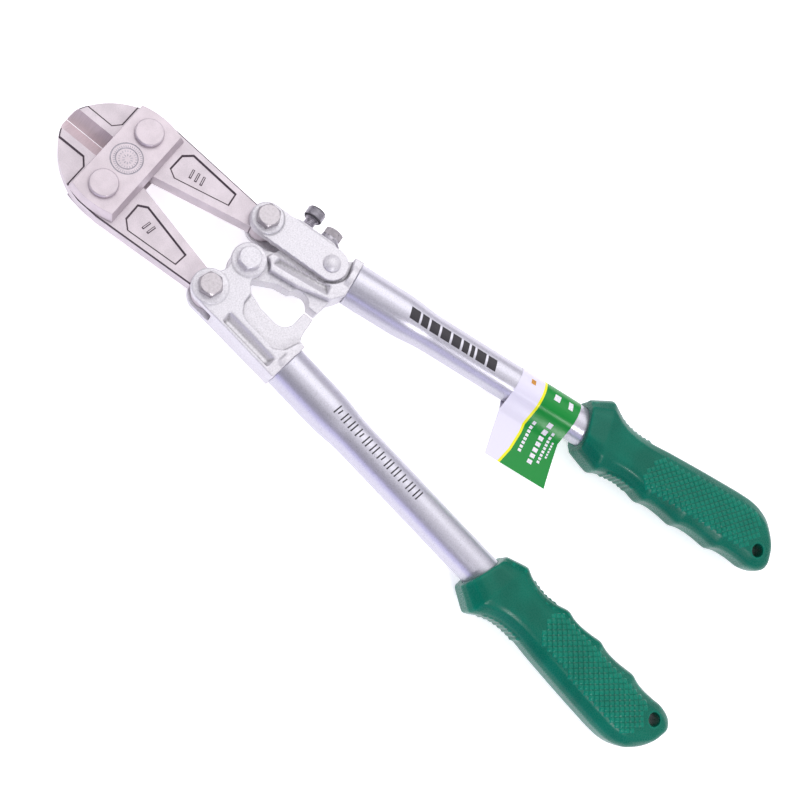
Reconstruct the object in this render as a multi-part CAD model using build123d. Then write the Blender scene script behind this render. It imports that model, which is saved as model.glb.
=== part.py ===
from build123d import *
import math
import os

# Bolt cutters of the 350 mm class, lying flat and closed.
# +Y runs along the tool towards the nose of the jaws, +X towards the handle with the adjusting link,
# and +Z up.  The origin is the middle of the underside of the whole tool.
# Every piece is first drawn in the pivot frame, whose origin is the centre bolt at mid thickness,
# and save() then moves it to its place.  All lengths are millimetres.

# ---- driving dimensions -------------------------------------------------------------------------
RIVET_X, RIVET_Y = 14.3, 62.8          # jaw bolts, each side of the middle
TAIL_X, TAIL_Y = 19.1, 5.2             # tail bolts, each side of the middle
LINK_RIVET = (21.7, -27.1)             # rear pin of the adjusting link
AXIS_X = 17.8                          # where a handle axis passes the centre bolt
HANDLE_ANGLE = 7.94                    # each handle axis from the Y axis, degrees
HEAD_END = 39.0                        # centre bolt to the tube end, along the handle axis
GRIP_END = 264.0                       # centre bolt to the end of the grip, along the handle axis

JAW_T = 8.8
NOSE_Y = 92.6                          # tip of the jaws
EDGE_GAP = 0.15                        # cutting edge to the middle plane
RELIEF = 1.25                          # how far the inner edge stands back under the straps
BEVEL_X = 5.4                          # where the cutting bevel meets the jaw face
SIDE_GAP = 0.3                         # between a moving blade and the cheeks beside it
STRAP_T = 5.5
STRAP_HALF_W, STRAP_HALF_L = 9.9, 21.8  # half width and half length of a strap's outer face
STRAP_BULGE = 1.6                      # rise of its rounded ends
STRAP_DRAFT = 1.2                      # a strap is this much larger at its foot, all round

SLOT_Z = JAW_T / 2 + SIDE_GAP          # half width of a fork slot
CHEEK_Z = 8.9                          # half thickness of the forged heads
BOSS_Z = 9.3                           # top of the turned boss rings
LINK_Z = 8.3                           # half thickness of the adjusting link
BOLT_R = 3.5                           # shoulder of every pivot bolt
RUN_FIT = 0.05                         # radial clearance of a running fit
PRESS_GAP = 0.02                       # radial clearance drawn for a fixed fit
THREAD_R = 3.0                         # thread of every pivot bolt
HEX_AF, HEX_H, NUT_H = 9.0, 4.0, 3.2   # hexagon heads and nuts
REACH = 20.0                           # half length of a cutter that goes right through

TUBE_R, TUBE_THIN_R, TUBE_WALL = 9.6, 8.4, 1.6
SWAGE_START, SWAGE_END = 26.0, 39.0    # where the tube narrows, from its front end
STOP_GAP = 1.6                         # each stop face from the middle plane

HOLE_S, HOLE_U, HOLE_R = 253.2, -8.3, 3.0   # hang hole, along and across the handle axis
HOLE_WALL = 20.6                       # thickness of the grip where the hang hole goes through
LABEL_S, LABEL_W, LABEL_FLAG = 136.6, 30.8, 25.0   # label: middle, width along the tube, length of its flag
LABEL_SKEW = 3.0                       # how far the flag's end leans towards the grip

LENGTH = NOSE_Y + 262.6                # nose to the grip ends, along Y
MID_Z = BOSS_Z + HEX_H                 # mid thickness above the underside
PIVOT_Y = LENGTH / 2 - NOSE_Y          # centre bolt from the middle of the length
PLACE = Pos(0, PIVOT_Y, MID_Z)


# ---- helpers ------------------------------------------------------------------------------------
def save(name, shape):
    """Write one node at its place in the tool."""
    export_step(PLACE * shape, "parts/" + name + ".step")


def slab(face, z0, z1):
    """A plate of the given outline between two heights."""
    return extrude(Pos(0, 0, z0) * face, z1 - z0)


def disc(x, y, r, z0, z1):
    return Pos(x, y, (z0 + z1) / 2) * Cylinder(r, z1 - z0)


def bore(x, y, r):
    """A cutter for a hole through the whole thickness."""
    return disc(x, y, r, -REACH, REACH)


def outline(points):
    """A flat face with straight sides through the points, anticlockwise."""
    return make_face(Polyline(*points, close=True))


def mirrored(shape):
    """The same piece on the other handle."""
    return mirror(shape, about=Plane.YZ)


def back(shape):
    """The same piece on the back of the tool."""
    return mirror(shape, about=Plane.XY)


def on_axis(s, u, z=0.0):
    """A point along (s) and outward from (u) the axis of the upper handle."""
    a = math.radians(HANDLE_ANGLE)
    return (AXIS_X + s * math.sin(a) + u * math.cos(a), -s * math.cos(a) + u * math.sin(a), z)


def axis_frame(s):
    """A frame at s on the upper handle axis: its Z runs down the handle, its X outward."""
    a = math.radians(HANDLE_ANGLE)
    return Plane(origin=on_axis(s, 0), x_dir=(math.cos(a), math.sin(a), 0),
                 z_dir=(math.sin(a), -math.cos(a), 0))


def hexagon(af, z0, z1, turn):
    """A hexagon prism with its outer corners turned down, as on a bolt head."""
    corner = af / math.sqrt(3)
    prism = slab(RegularPolygon(corner, 6, rotation=turn), z0, z1)
    drop = 0.5
    cone = Pos(0, 0, z1 - drop / 2) * Cone(af * 0.47 + drop * 1.7, af * 0.47, drop)
    keep = Pos(0, 0, (z0 + z1 - drop) / 2) * Cylinder(corner + 1, z1 - z0 - drop) + cone
    return prism & keep


# ---- jaws and straps ----------------------------------------------------------------------------
def jaw(bore_r, marks):
    """The jaw on the +X side, with its cutting bevel, recessed panels and two bores."""
    inner = EDGE_GAP + RELIEF
    half = JAW_T / 2
    body = make_face([
        Line((EDGE_GAP, 72.0), (EDGE_GAP, NOSE_Y)),
        Spline((EDGE_GAP, NOSE_Y), (5.3, 91.3), (10.6, 88.4), (16.2, 83.6), (20.6, 77.6), (24.6, 67.0)),
        Line((24.6, 67.0), (25.2, 57.5)),
        Line((25.2, 57.5), (22.6, 12.0)),
        Line((22.6, 12.0), (13.1, 8.6)),
        Line((13.1, 8.6), (inner, 58.6)),
        Line((inner, 58.6), (inner, 70.5)),
        Line((inner, 70.5), (EDGE_GAP, 72.0)),
    ])
    plate = slab(body, -half, half) + disc(TAIL_X, TAIL_Y, 6.4, -half, half)

    # the outer edges of both faces are broken by a small chamfer
    outer = [e for e in plate.edges()
             if abs(abs(e.center().Z) - half) < 0.01 and e.center().Y > 14.0 and (e @ 0.5).X > 9.0]
    plate = chamfer(outer, 0.6)

    # the cutting edge is ground from both faces
    wedge = outline([(EDGE_GAP - 1, 0.12), (EDGE_GAP, 0.12), (BEVEL_X, half + 0.01), (BEVEL_X, half + 1),
                     (EDGE_GAP - 1, half + 1)])
    grind = Plane(origin=(0, 66.5, 0), x_dir=(1, 0, 0), z_dir=(0, 1, 0))
    for side in (1, -1):
        face = wedge if side == 1 else mirror(wedge, about=Plane.XZ)
        plate -= extrude(grind * mirror(face, about=Plane.XZ), 30)

    # recessed panels on both faces: one on the tail and one open to the nose
    deep = 0.8
    tail_panel = outline([(14.4, 21.4), (19.5, 22.0), (20.9, 44.6), (17.8, 47.8), (10.7, 47.9), (8.8, 44.6)])
    nose_panel = outline([(9.2, 95), (9.2, 77.2), (12.2, 74.6), (30, 74.6), (30, 95)])
    for face in (tail_panel, nose_panel):
        cut = slab(face, half - deep, half + 1)
        plate -= cut
        plate -= back(cut)

    # raised bars in the tail panel
    step_x, step_y, turn = 0.25, -2.6, 12
    for i in range(marks):
        bar = Box(4.2, 1.1, 0.5)
        plate += Pos(14.7 + step_x * i, 40.5 + step_y * i, half - deep + 0.15) * Rot(0, 0, turn) * bar

    return plate - bore(RIVET_X, RIVET_Y, bore_r) - bore(TAIL_X, TAIL_Y, BOLT_R + RUN_FIT)


def strap():
    """The front strap: a pressed plate with drafted sides and a turned seal in its middle."""
    middle = RIVET_Y - 0.4

    def plan(grow):
        end = STRAP_HALF_L + grow
        top = middle + STRAP_HALF_W + grow
        low = middle - STRAP_HALF_W - grow
        return make_face([
            Line((-end, low), (end, low)),
            ThreePointArc((end, low), (end + STRAP_BULGE, middle), (end, top)),
            Line((end, top), (-end, top)),
            ThreePointArc((-end, top), (-end - STRAP_BULGE, middle), (-end, low)),
        ])
    z0 = JAW_T / 2 + SIDE_GAP
    z1 = z0 + STRAP_T
    plate = loft([Pos(0, 0, z0) * plan(STRAP_DRAFT), Pos(0, 0, z1) * plan(0)])

    # two plain rings are stamped in the middle
    stamp = z1 - 0.2
    for r_out, r_in in ((6.7, 6.3), (4.6, 4.25)):
        plate -= disc(0, RIVET_Y, r_out, stamp, z1 + 1) - disc(0, RIVET_Y, r_in, stamp, z1 + 1)
    for x in (-RIVET_X, RIVET_X):
        plate -= bore(x, RIVET_Y, BOLT_R + PRESS_GAP)
    return plate


def jaw_bolt(x):
    """A round-headed bolt through both straps."""
    top = JAW_T / 2 + SIDE_GAP + STRAP_T
    head = disc(x, RIVET_Y, 6.0, top, top + 2.0)
    head = chamfer(head.edges().filter_by(GeomType.CIRCLE).sort_by(Axis.Z)[-1], 0.5)
    shoulder = -top + 0.4
    shank = disc(x, RIVET_Y, BOLT_R, shoulder, top) + disc(x, RIVET_Y, THREAD_R, -top - NUT_H, shoulder)
    return head + shank


def nut(x, y, z_face, turn):
    """A hexagon nut on the back face, whose inner face is at -z_face."""
    blank = Pos(x, y, 0) * hexagon(HEX_AF, z_face, z_face + NUT_H, turn)
    return back(blank) - bore(x, y, THREAD_R + PRESS_GAP)


# ---- pivot bolts of the heads -------------------------------------------------------------------
def hex_bolt(x, y, seat, turn):
    """A hexagon shoulder bolt whose head stands on seat, with a thread for the nut at the back."""
    head = Pos(x, y, 0) * hexagon(HEX_AF, seat, seat + HEX_H, turn)
    return head + disc(x, y, BOLT_R, -seat, seat) + disc(x, y, THREAD_R, -seat - HEX_H + 0.3, -seat)


# ---- heads --------------------------------------------------------------------------------------
def socket_spigot():
    """The round tenon of a head that the tube is pressed on, with its shoulder."""
    r = TUBE_R - TUBE_WALL - PRESS_GAP
    collar = 3.0
    shoulder = axis_frame(HEAD_END - collar) * (Pos(0, 0, collar / 2) * Cylinder(TUBE_R - 0.4, collar))
    tenon = axis_frame(HEAD_END) * (Pos(0, 0, 9) * Cylinder(r, 18))
    tip = axis_frame(HEAD_END + 18) * (Pos(0, 0, 1) * Cone(r, r - 1.2, 2))
    return shoulder + tenon + tip


def wedge_body(front_s, front_half, rear_half):
    """A side profile, thick at the fork and as thick as the tube at the rear, as a tall prism."""
    a = math.radians(HANDLE_ANGLE)
    frame = Plane(origin=(AXIS_X, 0, 0), x_dir=(math.sin(a), -math.cos(a), 0), z_dir=(-math.cos(a), -math.sin(a), 0))
    face = outline([(-30, -front_half), (front_s, -front_half), (HEAD_END, -rear_half), (HEAD_END, rear_half),
                    (front_s, front_half), (-30, front_half)])
    return extrude(frame * face, 60, both=True)


def lower_head():
    """The forked head, drawn on the +X side: eye, fork, pocketed body, stop arm and tenon."""
    eye_r, fork_r = 7.4, 7.7
    rear_out = on_axis(HEAD_END, TUBE_R - 0.4)
    rear_in = on_axis(HEAD_END, -TUBE_R + 0.4)
    main = make_face([
        Line((26.8, 5.2), (28.6, -10.0)),
        Line((28.6, -10.0), rear_out[:2]),
        Line(rear_out[:2], rear_in[:2]),
        Line(rear_in[:2], (13.0, -37.4)),
        Line((13.0, -37.4), (20.2, -34.2)),
        Line((20.2, -34.2), (22.8, -30.0)),
        Line((22.8, -30.0), (20.6, -14.6)),
        Line((20.6, -14.6), (19.4, -11.8)),
        Line((19.4, -11.8), (15.2, -9.4)),
        Line((15.2, -9.4), (10.4, -9.3)),
        Line((10.4, -9.3), (7.9, -6.9)),
        Line((7.9, -6.9), (4.4, -5.6)),
        Line((4.4, -5.6), (3.6, 6.1)),
        ThreePointArc((3.6, 6.1), (9.0, 4.9), (13.6, 10.2)),
        Line((13.6, 10.2), (26.8, 5.2)),
    ])
    body = slab(main, -CHEEK_Z, CHEEK_Z)
    body += disc(TAIL_X, TAIL_Y, fork_r, -CHEEK_Z, CHEEK_Z) + disc(0, 0, eye_r, -CHEEK_Z, CHEEK_Z)
    body &= wedge_body(20.0, CHEEK_Z, TUBE_R - 1.2)

    # the stop arm is a thinner plate that hooks towards the other handle
    arm_z = 5.2
    arm = make_face([
        Line((22.5, -8.0), (25.0, -36.0)),
        Line((25.0, -36.0), (15.0, -39.3)),
        ThreePointArc((15.0, -39.3), (11.8, -36.9), (8.0, -36.0)),
        Line((8.0, -36.0), (STOP_GAP, -35.6)),
        Line((STOP_GAP, -35.6), (STOP_GAP, -30.9)),
        Line((STOP_GAP, -30.9), (6.5, -30.6)),
        ThreePointArc((6.5, -30.6), (11.4, -28.6), (12.8, -24.0)),
        Line((12.8, -24.0), (11.9, -16.0)),
        Line((11.9, -16.0), (9.2, -8.8)),
        Line((9.2, -8.8), (22.5, -8.0)),
    ])
    body += slab(arm, -arm_z, arm_z)
    body += disc(TAIL_X, TAIL_Y, 7.3, CHEEK_Z, BOSS_Z) + disc(0, 0, 7.1, CHEEK_Z, BOSS_Z)
    body += back(disc(TAIL_X, TAIL_Y, 7.3, CHEEK_Z, BOSS_Z) + disc(0, 0, 7.1, CHEEK_Z, BOSS_Z))

    # long pockets beside the outer edge, with one sloping wall
    floor_z, lip = 6.2, CHEEK_Z + 0.02
    low = Pos(0, 0, floor_z) * outline([(24.6, -8.6), (26.8, -8.2), (29.9, -31.6), (27.6, -32.0)])
    high = Pos(0, 0, lip) * outline([(22.0, -7.4), (27.1, -7.4), (30.4, -33.4), (25.2, -33.8)])
    pocket = loft([low, high])
    body -= pocket
    body -= back(pocket)

    # the slot for the jaw tail and for the tongue of the other head
    clear = disc(TAIL_X, TAIL_Y, 7.2, -SLOT_Z, SLOT_Z)
    clear += disc(0, 0, 7.9, -SLOT_Z, SLOT_Z)
    clear += slab(outline([(TAIL_X - 12, -5.5), (TAIL_X + 2, -3.6), (TAIL_X + 12, -1.6), (TAIL_X + 12, 20),
                           (-9, 20), (-9, -20), (3.4, -20), (6.8, -8.6)]), -SLOT_Z, SLOT_Z)
    arm_keep = slab(outline([(-9, -28), (3.6, -28), (3.6, -14), (-9, -14)]), -SLOT_Z, SLOT_Z)
    body -= clear - arm_keep
    body += socket_spigot()
    return body - bore(TAIL_X, TAIL_Y, BOLT_R + PRESS_GAP) - bore(0, 0, BOLT_R + PRESS_GAP)


def upper_head():
    """The head with the tongue: eye, ridged body, stop lug, link tab and tenon."""
    eye_r = 7.1
    rear_out = on_axis(HEAD_END, TUBE_R - 1.2)
    rear_in = on_axis(HEAD_END, -TUBE_R + 1.2)
    thick = make_face([
        Line((6.5, -4.9), (9.0, -5.6)),
        Line((9.0, -5.6), (12.9, -26.8)),
        ThreePointArc((12.9, -26.8), (16.4, -33.6), (23.9, -35.6)),
        Line((23.9, -35.6), (30.6, -33.2)),
        Line((30.6, -33.2), rear_out[:2]),
        Line(rear_out[:2], rear_in[:2]),
        Line(rear_in[:2], (9.2, -36.2)),
        Line((9.2, -36.2), (4.6, -22.0)),
        Line((4.6, -22.0), (2.6, -9.0)),
        ThreePointArc((2.6, -9.0), (4.9, -7.6), (6.5, -4.9)),
    ])
    thick_z = 7.9
    body = slab(thick, -thick_z, thick_z) - bore(0, 0, 8.1)

    # the tongue, the stop lug and the tab that carries the link are all one plate
    tongue_z = JAW_T / 2
    tongue = make_face([
        Line((-6.4, -2.8), (0.6, -14.5)),
        Line((0.6, -14.5), (1.8, -21.0)),
        ThreePointArc((1.8, -21.0), (4.6, -24.4), (3.6, -29.4)),
        Line((3.6, -29.4), (STOP_GAP, -31.0)),
        Line((STOP_GAP, -31.0), (STOP_GAP, -35.4)),
        Line((STOP_GAP, -35.4), (10.6, -36.6)),
        Line((10.6, -36.6), rear_in[:2]),
        Line(rear_in[:2], rear_out[:2]),
        Line(rear_out[:2], (29.4, -33.0)),
        Line((29.4, -33.0), (26.0, -28.6)),
        Line((26.0, -28.6), (24.8, -14.5)),
        Line((24.8, -14.5), (18.6, -8.2)),
        Line((18.6, -8.2), (11.0, -6.0)),
        Line((11.0, -6.0), (5.6, 4.2)),
        Line((5.6, 4.2), (-6.4, -2.8)),
    ])
    body += slab(tongue, -tongue_z, tongue_z) + disc(0, 0, eye_r, -tongue_z, tongue_z)

    # a long groove with a sloping wall between the two ridges of the forging
    floor_z, lip = 5.6, thick_z + 0.02
    low = Pos(0, 0, floor_z) * outline([(8.0, -9.5), (9.0, -10.0), (13.2, -31.0), (12.2, -32.2)])
    high = Pos(0, 0, lip) * outline([(5.2, -8.4), (9.4, -8.6), (14.2, -32.6), (9.4, -34.0)])
    groove = loft([low, high])
    body -= groove
    body -= back(groove)
    body += socket_spigot()

    # the rivet bore, the thread for the pull bolt and the pivot bore
    body -= bore(*LINK_RIVET, RIVET_PIN_R + PRESS_GAP)
    body -= link_frame(PULL_S) * Cylinder(PULL_R + PRESS_GAP, 24)
    return body - bore(0, 0, BOLT_R + RUN_FIT)


# ---- adjusting link -----------------------------------------------------------------------------
RIVET_PIN_R = 2.8
PUSH_S, PULL_S = 15.2, 26.2            # the two screws, from the tail bolt along the link
PUSH_R, PULL_R = 2.5, 2.5
LINK_HALF = 7.2                        # half width of the link
LINK_EDGE = LINK_HALF + 1.2            # outer face of the link's back, from its middle line
LINK_ANGLE = math.degrees(math.atan2(LINK_RIVET[0] - TAIL_X, TAIL_Y - LINK_RIVET[1]))


def link_point(s, n):
    """A point along (s) and outward from (n) the link's middle line, from the tail bolt."""
    a = math.radians(LINK_ANGLE)
    return (TAIL_X + s * math.sin(a) + n * math.cos(a), TAIL_Y - s * math.cos(a) + n * math.sin(a))


def link_frame(s, n=0.0):
    """A frame on the link whose Z points outward, square to the link."""
    a = math.radians(LINK_ANGLE)
    p = link_point(s, n)
    return Plane(origin=(p[0], p[1], 0), x_dir=(math.sin(a), -math.cos(a), 0), z_dir=(math.cos(a), math.sin(a), 0))


def adjusting_link():
    """A channel: two cheeks joined by a back, which holds the two screws."""
    length = math.dist((TAIL_X, TAIL_Y), LINK_RIVET)
    sides = outline([link_point(0, -LINK_HALF), link_point(length, -LINK_HALF), link_point(length, LINK_HALF),
                     link_point(0, LINK_HALF)])
    cheek = slab(sides, SLOT_Z, LINK_Z)
    cheek += disc(TAIL_X, TAIL_Y, LINK_HALF, SLOT_Z, LINK_Z) + disc(*LINK_RIVET, LINK_HALF, SLOT_Z, LINK_Z)
    cheek += disc(TAIL_X, TAIL_Y, 6.9, LINK_Z, BOSS_Z)
    wall = outline([link_point(9.2, 5.0), link_point(29.2, 5.0), link_point(30.6, LINK_HALF - 0.1),
                    link_point(28.8, LINK_EDGE), link_point(11.4, LINK_EDGE), link_point(8.2, LINK_HALF)])
    shape = cheek + back(cheek) + slab(wall, -LINK_Z + 0.8, LINK_Z - 0.8)
    shape += link_frame(PUSH_S, LINK_EDGE) * Cylinder(3.7, 1.2)
    shape -= link_frame(PUSH_S) * (Pos(0, 0, 8) * Cylinder(PUSH_R + RUN_FIT, 12))
    shape -= link_frame(PULL_S) * (Pos(0, 0, 8) * Cylinder(PULL_R + 0.6, 12))
    return shape - bore(TAIL_X, TAIL_Y, BOLT_R + PRESS_GAP) - bore(*LINK_RIVET, RIVET_PIN_R + RUN_FIT)


def link_rivet():
    """The rear pin of the link, with a domed head on each side."""
    head_r, dome_h, gap = 3.9, 1.7, 0.3
    big = (head_r ** 2 + dome_h ** 2) / (2 * dome_h)
    dome = Pos(0, 0, LINK_Z + gap + dome_h - big) * Sphere(big)
    dome &= Pos(0, 0, LINK_Z + gap + 5) * Box(30, 30, 10)
    pin = Cylinder(RIVET_PIN_R, 2 * (LINK_Z + gap))
    return Pos(*LINK_RIVET, 0) * (pin + dome + back(dome))


def push_screw():
    """The knurled screw that pushes the link away from the head."""
    head_h, head_at, tip_at = 3.6, 14.6, 6.2
    thread = Pos(0, 0, (head_at + tip_at) / 2) * Cylinder(PUSH_R, head_at - tip_at)
    head = Pos(0, 0, head_at + head_h / 2) * Cylinder(4.15, head_h)
    head = chamfer(head.edges().filter_by(GeomType.CIRCLE), 0.5)
    return link_frame(PUSH_S) * (thread + head)


def pull_stack(low, high, r_out, r_in):
    """A washer on the pull bolt between two distances from the link's middle line."""
    ring = Pos(0, 0, (low + high) / 2) * (Cylinder(r_out, high - low) - Cylinder(r_in, high - low + 2))
    return link_frame(PULL_S) * ring


def pull_bolt():
    """The hexagon bolt that pulls the link against the head."""
    seat = LINK_EDGE + 3.3
    head = hexagon(8.0, seat, seat + 3.5, 30)
    shank = Pos(0, 0, (seat - 8.0) / 2) * Cylinder(PULL_R, seat + 8.0)
    return link_frame(PULL_S) * (head + shank)


# ---- handles ------------------------------------------------------------------------------------
def tube():
    """The swaged handle tube of the +X side."""
    length = GRIP_END - 17.0 - HEAD_END

    def solid(r1, r2, z0, z1):
        z = [z0, SWAGE_START, SWAGE_END, z1]
        face = outline([(0, z[0]), (r1, z[0]), (r1, z[1]), (r2, z[2]), (r2, z[3]), (0, z[3])])
        return revolve(Plane.XZ * face, Axis.Z)
    shape = solid(TUBE_R, TUBE_THIN_R, 0, length)
    shape -= solid(TUBE_R - TUBE_WALL, TUBE_THIN_R - TUBE_WALL, -1, length + 1)
    return axis_frame(HEAD_END) * shape


# Stations of the grip: inner (s, u), outer (s, u), half thickness, corner chamfer.
# s runs down the handle axis and u outward from it.  The mouth leans forward on its outer side,
# and the inner side has four finger crests.
GRIP_STATIONS = [
    ((160.3, -11.8), (154.3, 11.5), 11.1, 4.6),
    ((170.2, -15.7), (164.4, 17.1), 12.6, 6.2),
    ((174.5, -14.1), (170.0, 13.2), 11.3, 5.4),
    ((181.0, -12.7), (178.0, 10.3), 10.5, 4.8),
    ((189.0, -13.4), (187.0, 10.0), 10.3, 4.6),
    ((196.2, -16.0), (196.5, 10.8), 10.4, 4.8),
    ((205.5, -14.6), (205.5, 11.3), 10.6, 4.8),
    ((215.2, -16.8), (215.2, 11.8), 10.8, 5.0),
    ((225.2, -15.2), (225.2, 12.2), 10.8, 5.0),
    ((235.2, -17.1), (235.2, 12.6), 10.8, 5.0),
    ((245.0, -15.7), (244.0, 12.2), HOLE_WALL / 2, 5.0),
    ((253.6, -16.9), (251.0, 10.2), HOLE_WALL / 2, 4.8),
    ((259.6, -16.2), (257.4, 5.8), 8.4, 3.6),
    ((GRIP_END - 0.4, -11.6), (GRIP_END - 2.4, -1.6), 4.6, 2.0),
]


def grip():
    """The moulded grip of the +X side, with its blind bore and hang hole."""
    sections = []
    for (s_in, u_in), (s_out, u_out), half, cut in GRIP_STATIONS:
        a = Vector(*on_axis(s_in, u_in))
        b = Vector(*on_axis(s_out, u_out))
        x_dir = (b - a).normalized()
        frame = Plane(origin=(a + b) * 0.5, x_dir=x_dir, z_dir=x_dir.cross(Vector(0, 0, 1)))
        w = (b - a).length / 2
        face = outline([(-w, -half + cut), (-w + cut, -half), (w - cut, -half), (w, -half + cut),
                        (w, half - cut), (w - cut, half), (-w + cut, half), (-w, half - cut)])
        sections.append(frame * face)
    shape = loft(sections, ruled=True)
    start, end = 140.0, GRIP_END - 16.0
    length = end - start
    socket = axis_frame(start) * (Pos(0, 0, length / 2) * Cylinder(TUBE_THIN_R + PRESS_GAP, length))
    hole_x, hole_y, _ = on_axis(HOLE_S, HOLE_U)
    return shape - socket - bore(hole_x, hole_y, HOLE_R)


def label_flag():
    """A sticker wrapped round the upper tube, its two ends stuck together as a flag."""
    r0, r1, thick = TUBE_THIN_R + PRESS_GAP, TUBE_THIN_R + 0.25, 0.4
    wrap = Cylinder(r1, LABEL_W) - Cylinder(r0, LABEL_W + 2)
    half = LABEL_W / 2
    root = -r1 + 0.1
    tip = -r1 - LABEL_FLAG
    flag = outline([(root, -half), (root, half), (tip, half + LABEL_SKEW), (tip, -half + LABEL_SKEW)])
    sheet = extrude(Plane.XZ * flag, thick / 2, both=True)
    return axis_frame(LABEL_S) * (wrap + sheet)


# ---- write every node ---------------------------------------------------------------------------
def main():
    os.makedirs("parts", exist_ok=True)
    loose_r = BOLT_R + 1.75            # bore of the upper jaw round its jaw bolt

    save("jaw_lower", mirrored(jaw(BOLT_R + RUN_FIT, 2)))
    save("jaw_upper", jaw(loose_r, 3))
    save("strap_front", strap())
    save("strap_back", back(strap()))
    for name, x in (("lower", -RIVET_X), ("upper", RIVET_X)):
        save("jaw_bolt_" + name, jaw_bolt(x))
        save("jaw_nut_" + name, nut(x, RIVET_Y, JAW_T / 2 + SIDE_GAP + STRAP_T, 15))
    for name, x, y, turn in (("tail_bolt_lower", -TAIL_X, TAIL_Y, 40), ("tail_bolt_upper", TAIL_X, TAIL_Y, 30),
                             ("centre_bolt", 0, 0, 22)):
        save(name, hex_bolt(x, y, BOSS_Z, turn))
        save(name.replace("bolt", "nut"), nut(x, y, BOSS_Z, turn))
    save("lower_head", mirrored(lower_head()))
    save("upper_head", upper_head())
    save("adjusting_link", adjusting_link())
    save("link_rivet", link_rivet())
    save("push_screw", push_screw())
    save("pull_bolt", pull_bolt())
    save("pull_washer", pull_stack(LINK_EDGE + 0.4, LINK_EDGE + 1.6, 5.5, PULL_R + PRESS_GAP))
    save("pull_spring_washer", pull_stack(LINK_EDGE + 1.7, LINK_EDGE + 3.2, 4.3, PULL_R + PRESS_GAP))
    save("upper_tube", tube())
    save("lower_tube", mirrored(tube()))
    save("upper_grip", grip())
    save("lower_grip", mirrored(grip()))
    save("label_flag", label_flag())


if __name__ == "__main__":
    main()
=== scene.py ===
"""Bolt cutters: finishes and fine detail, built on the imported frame."""

import math

import bpy
from bpy.props import FloatProperty, FloatVectorProperty, IntProperty, PointerProperty
from mathutils import Matrix, Vector


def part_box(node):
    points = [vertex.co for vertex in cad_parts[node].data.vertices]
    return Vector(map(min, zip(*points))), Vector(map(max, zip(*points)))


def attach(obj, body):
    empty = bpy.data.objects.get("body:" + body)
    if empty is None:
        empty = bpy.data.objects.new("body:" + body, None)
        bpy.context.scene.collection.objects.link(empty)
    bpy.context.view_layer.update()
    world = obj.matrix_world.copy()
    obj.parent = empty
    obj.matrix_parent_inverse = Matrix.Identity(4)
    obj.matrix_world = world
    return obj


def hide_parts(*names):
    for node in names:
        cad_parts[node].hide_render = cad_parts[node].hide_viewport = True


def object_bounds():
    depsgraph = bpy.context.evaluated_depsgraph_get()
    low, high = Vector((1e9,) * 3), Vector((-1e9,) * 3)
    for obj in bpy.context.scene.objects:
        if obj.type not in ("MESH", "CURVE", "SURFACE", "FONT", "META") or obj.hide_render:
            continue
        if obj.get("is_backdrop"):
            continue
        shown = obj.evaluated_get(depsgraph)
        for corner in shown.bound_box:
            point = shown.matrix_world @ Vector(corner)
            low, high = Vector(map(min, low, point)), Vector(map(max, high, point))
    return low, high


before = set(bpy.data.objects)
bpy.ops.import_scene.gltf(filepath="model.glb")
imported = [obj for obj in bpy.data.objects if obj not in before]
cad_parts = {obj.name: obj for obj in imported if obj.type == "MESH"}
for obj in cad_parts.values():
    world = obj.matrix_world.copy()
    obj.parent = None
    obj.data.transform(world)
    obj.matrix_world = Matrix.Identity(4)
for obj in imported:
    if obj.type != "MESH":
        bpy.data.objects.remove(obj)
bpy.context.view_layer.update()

bl_info = {
    "name": "Bolt cutters",
    "version": (1, 0, 0),
    "blender": (4, 5, 0),
    "location": "3D View > Sidebar > Bolt cutters",
    "description": "Models and finishes a pair of bolt cutters with adjustable jaws",
    "category": "Add Mesh",
}

MM = 0.001

# The handle axes, as the frame has them: each passes beside the centre bolt and leans outward.
PIVOT = Vector((0.0, 85.0, 13.3)) * MM
AXIS_X = 17.8 * MM
HANDLE_ANGLE = math.radians(7.94)
THIN_TUBE_R = 8.4


# ---- colours --------------------------------------------------------------------------------------
def srgb(code):
    """A linear colour from an sRGB hex code."""
    parts = [int(code[i:i + 2], 16) / 255 for i in (1, 3, 5)]
    return tuple(p / 12.92 if p <= 0.04045 else ((p + 0.055) / 1.055) ** 2.4 for p in parts)


def rgba(colour):
    """A colour property as the four numbers that a shader socket takes."""
    return (*colour, 1.0)


def colour(label, about, code):
    """A colour property whose default is an sRGB hex code."""
    return FloatVectorProperty(name=label, description=about, subtype="COLOR", size=3, min=0, max=1,
                               default=srgb(code))


def length(label, about, mm):
    """A length property whose default is in millimetres."""
    return FloatProperty(name=label, description=about, unit="LENGTH", precision=5, min=0, default=mm * MM)


# ---- settings -------------------------------------------------------------------------------------
class CutterSizes(bpy.types.PropertyGroup):
    """Sizes of the fine detail."""
    casting_grain: length("Casting grain", "Smallest feature kept on the painted forgings", 0.36)
    edge_break: length("Edge break", "Width of the broken edges on jaws and straps", 0.16)
    recess_depth: length("Recess depth", "Depth of the stamped recesses in the jaws", 0.8)
    recess_draft: length("Recess draft", "Width of the sloping wall round a recess", 0.72)
    bolt_break: length("Bolt edge break", "Width of the broken edges on bolts and nuts", 0.22)
    grip_grain: length("Grip grain", "Smallest feature kept on the moulded grips", 0.44)
    knurl_pitch: length("Knurl pitch", "Distance between the diamonds on a grip", 2.25)
    knurl_height: length("Knurl height", "How far a diamond stands up", 0.34)
    rib_pitch: length("Rib pitch", "Distance between the ribs on a grip's neck", 2.4)
    thread_pitch: length("Thread pitch", "Pitch of the adjusting screws", 0.8)
    ink_lift: length("Ink lift", "How far a printed mark stands off its surface", 0.03)
    tube_sides: IntProperty(name="Tube sides", description="Facets round a tube", min=24, default=96)


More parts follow.
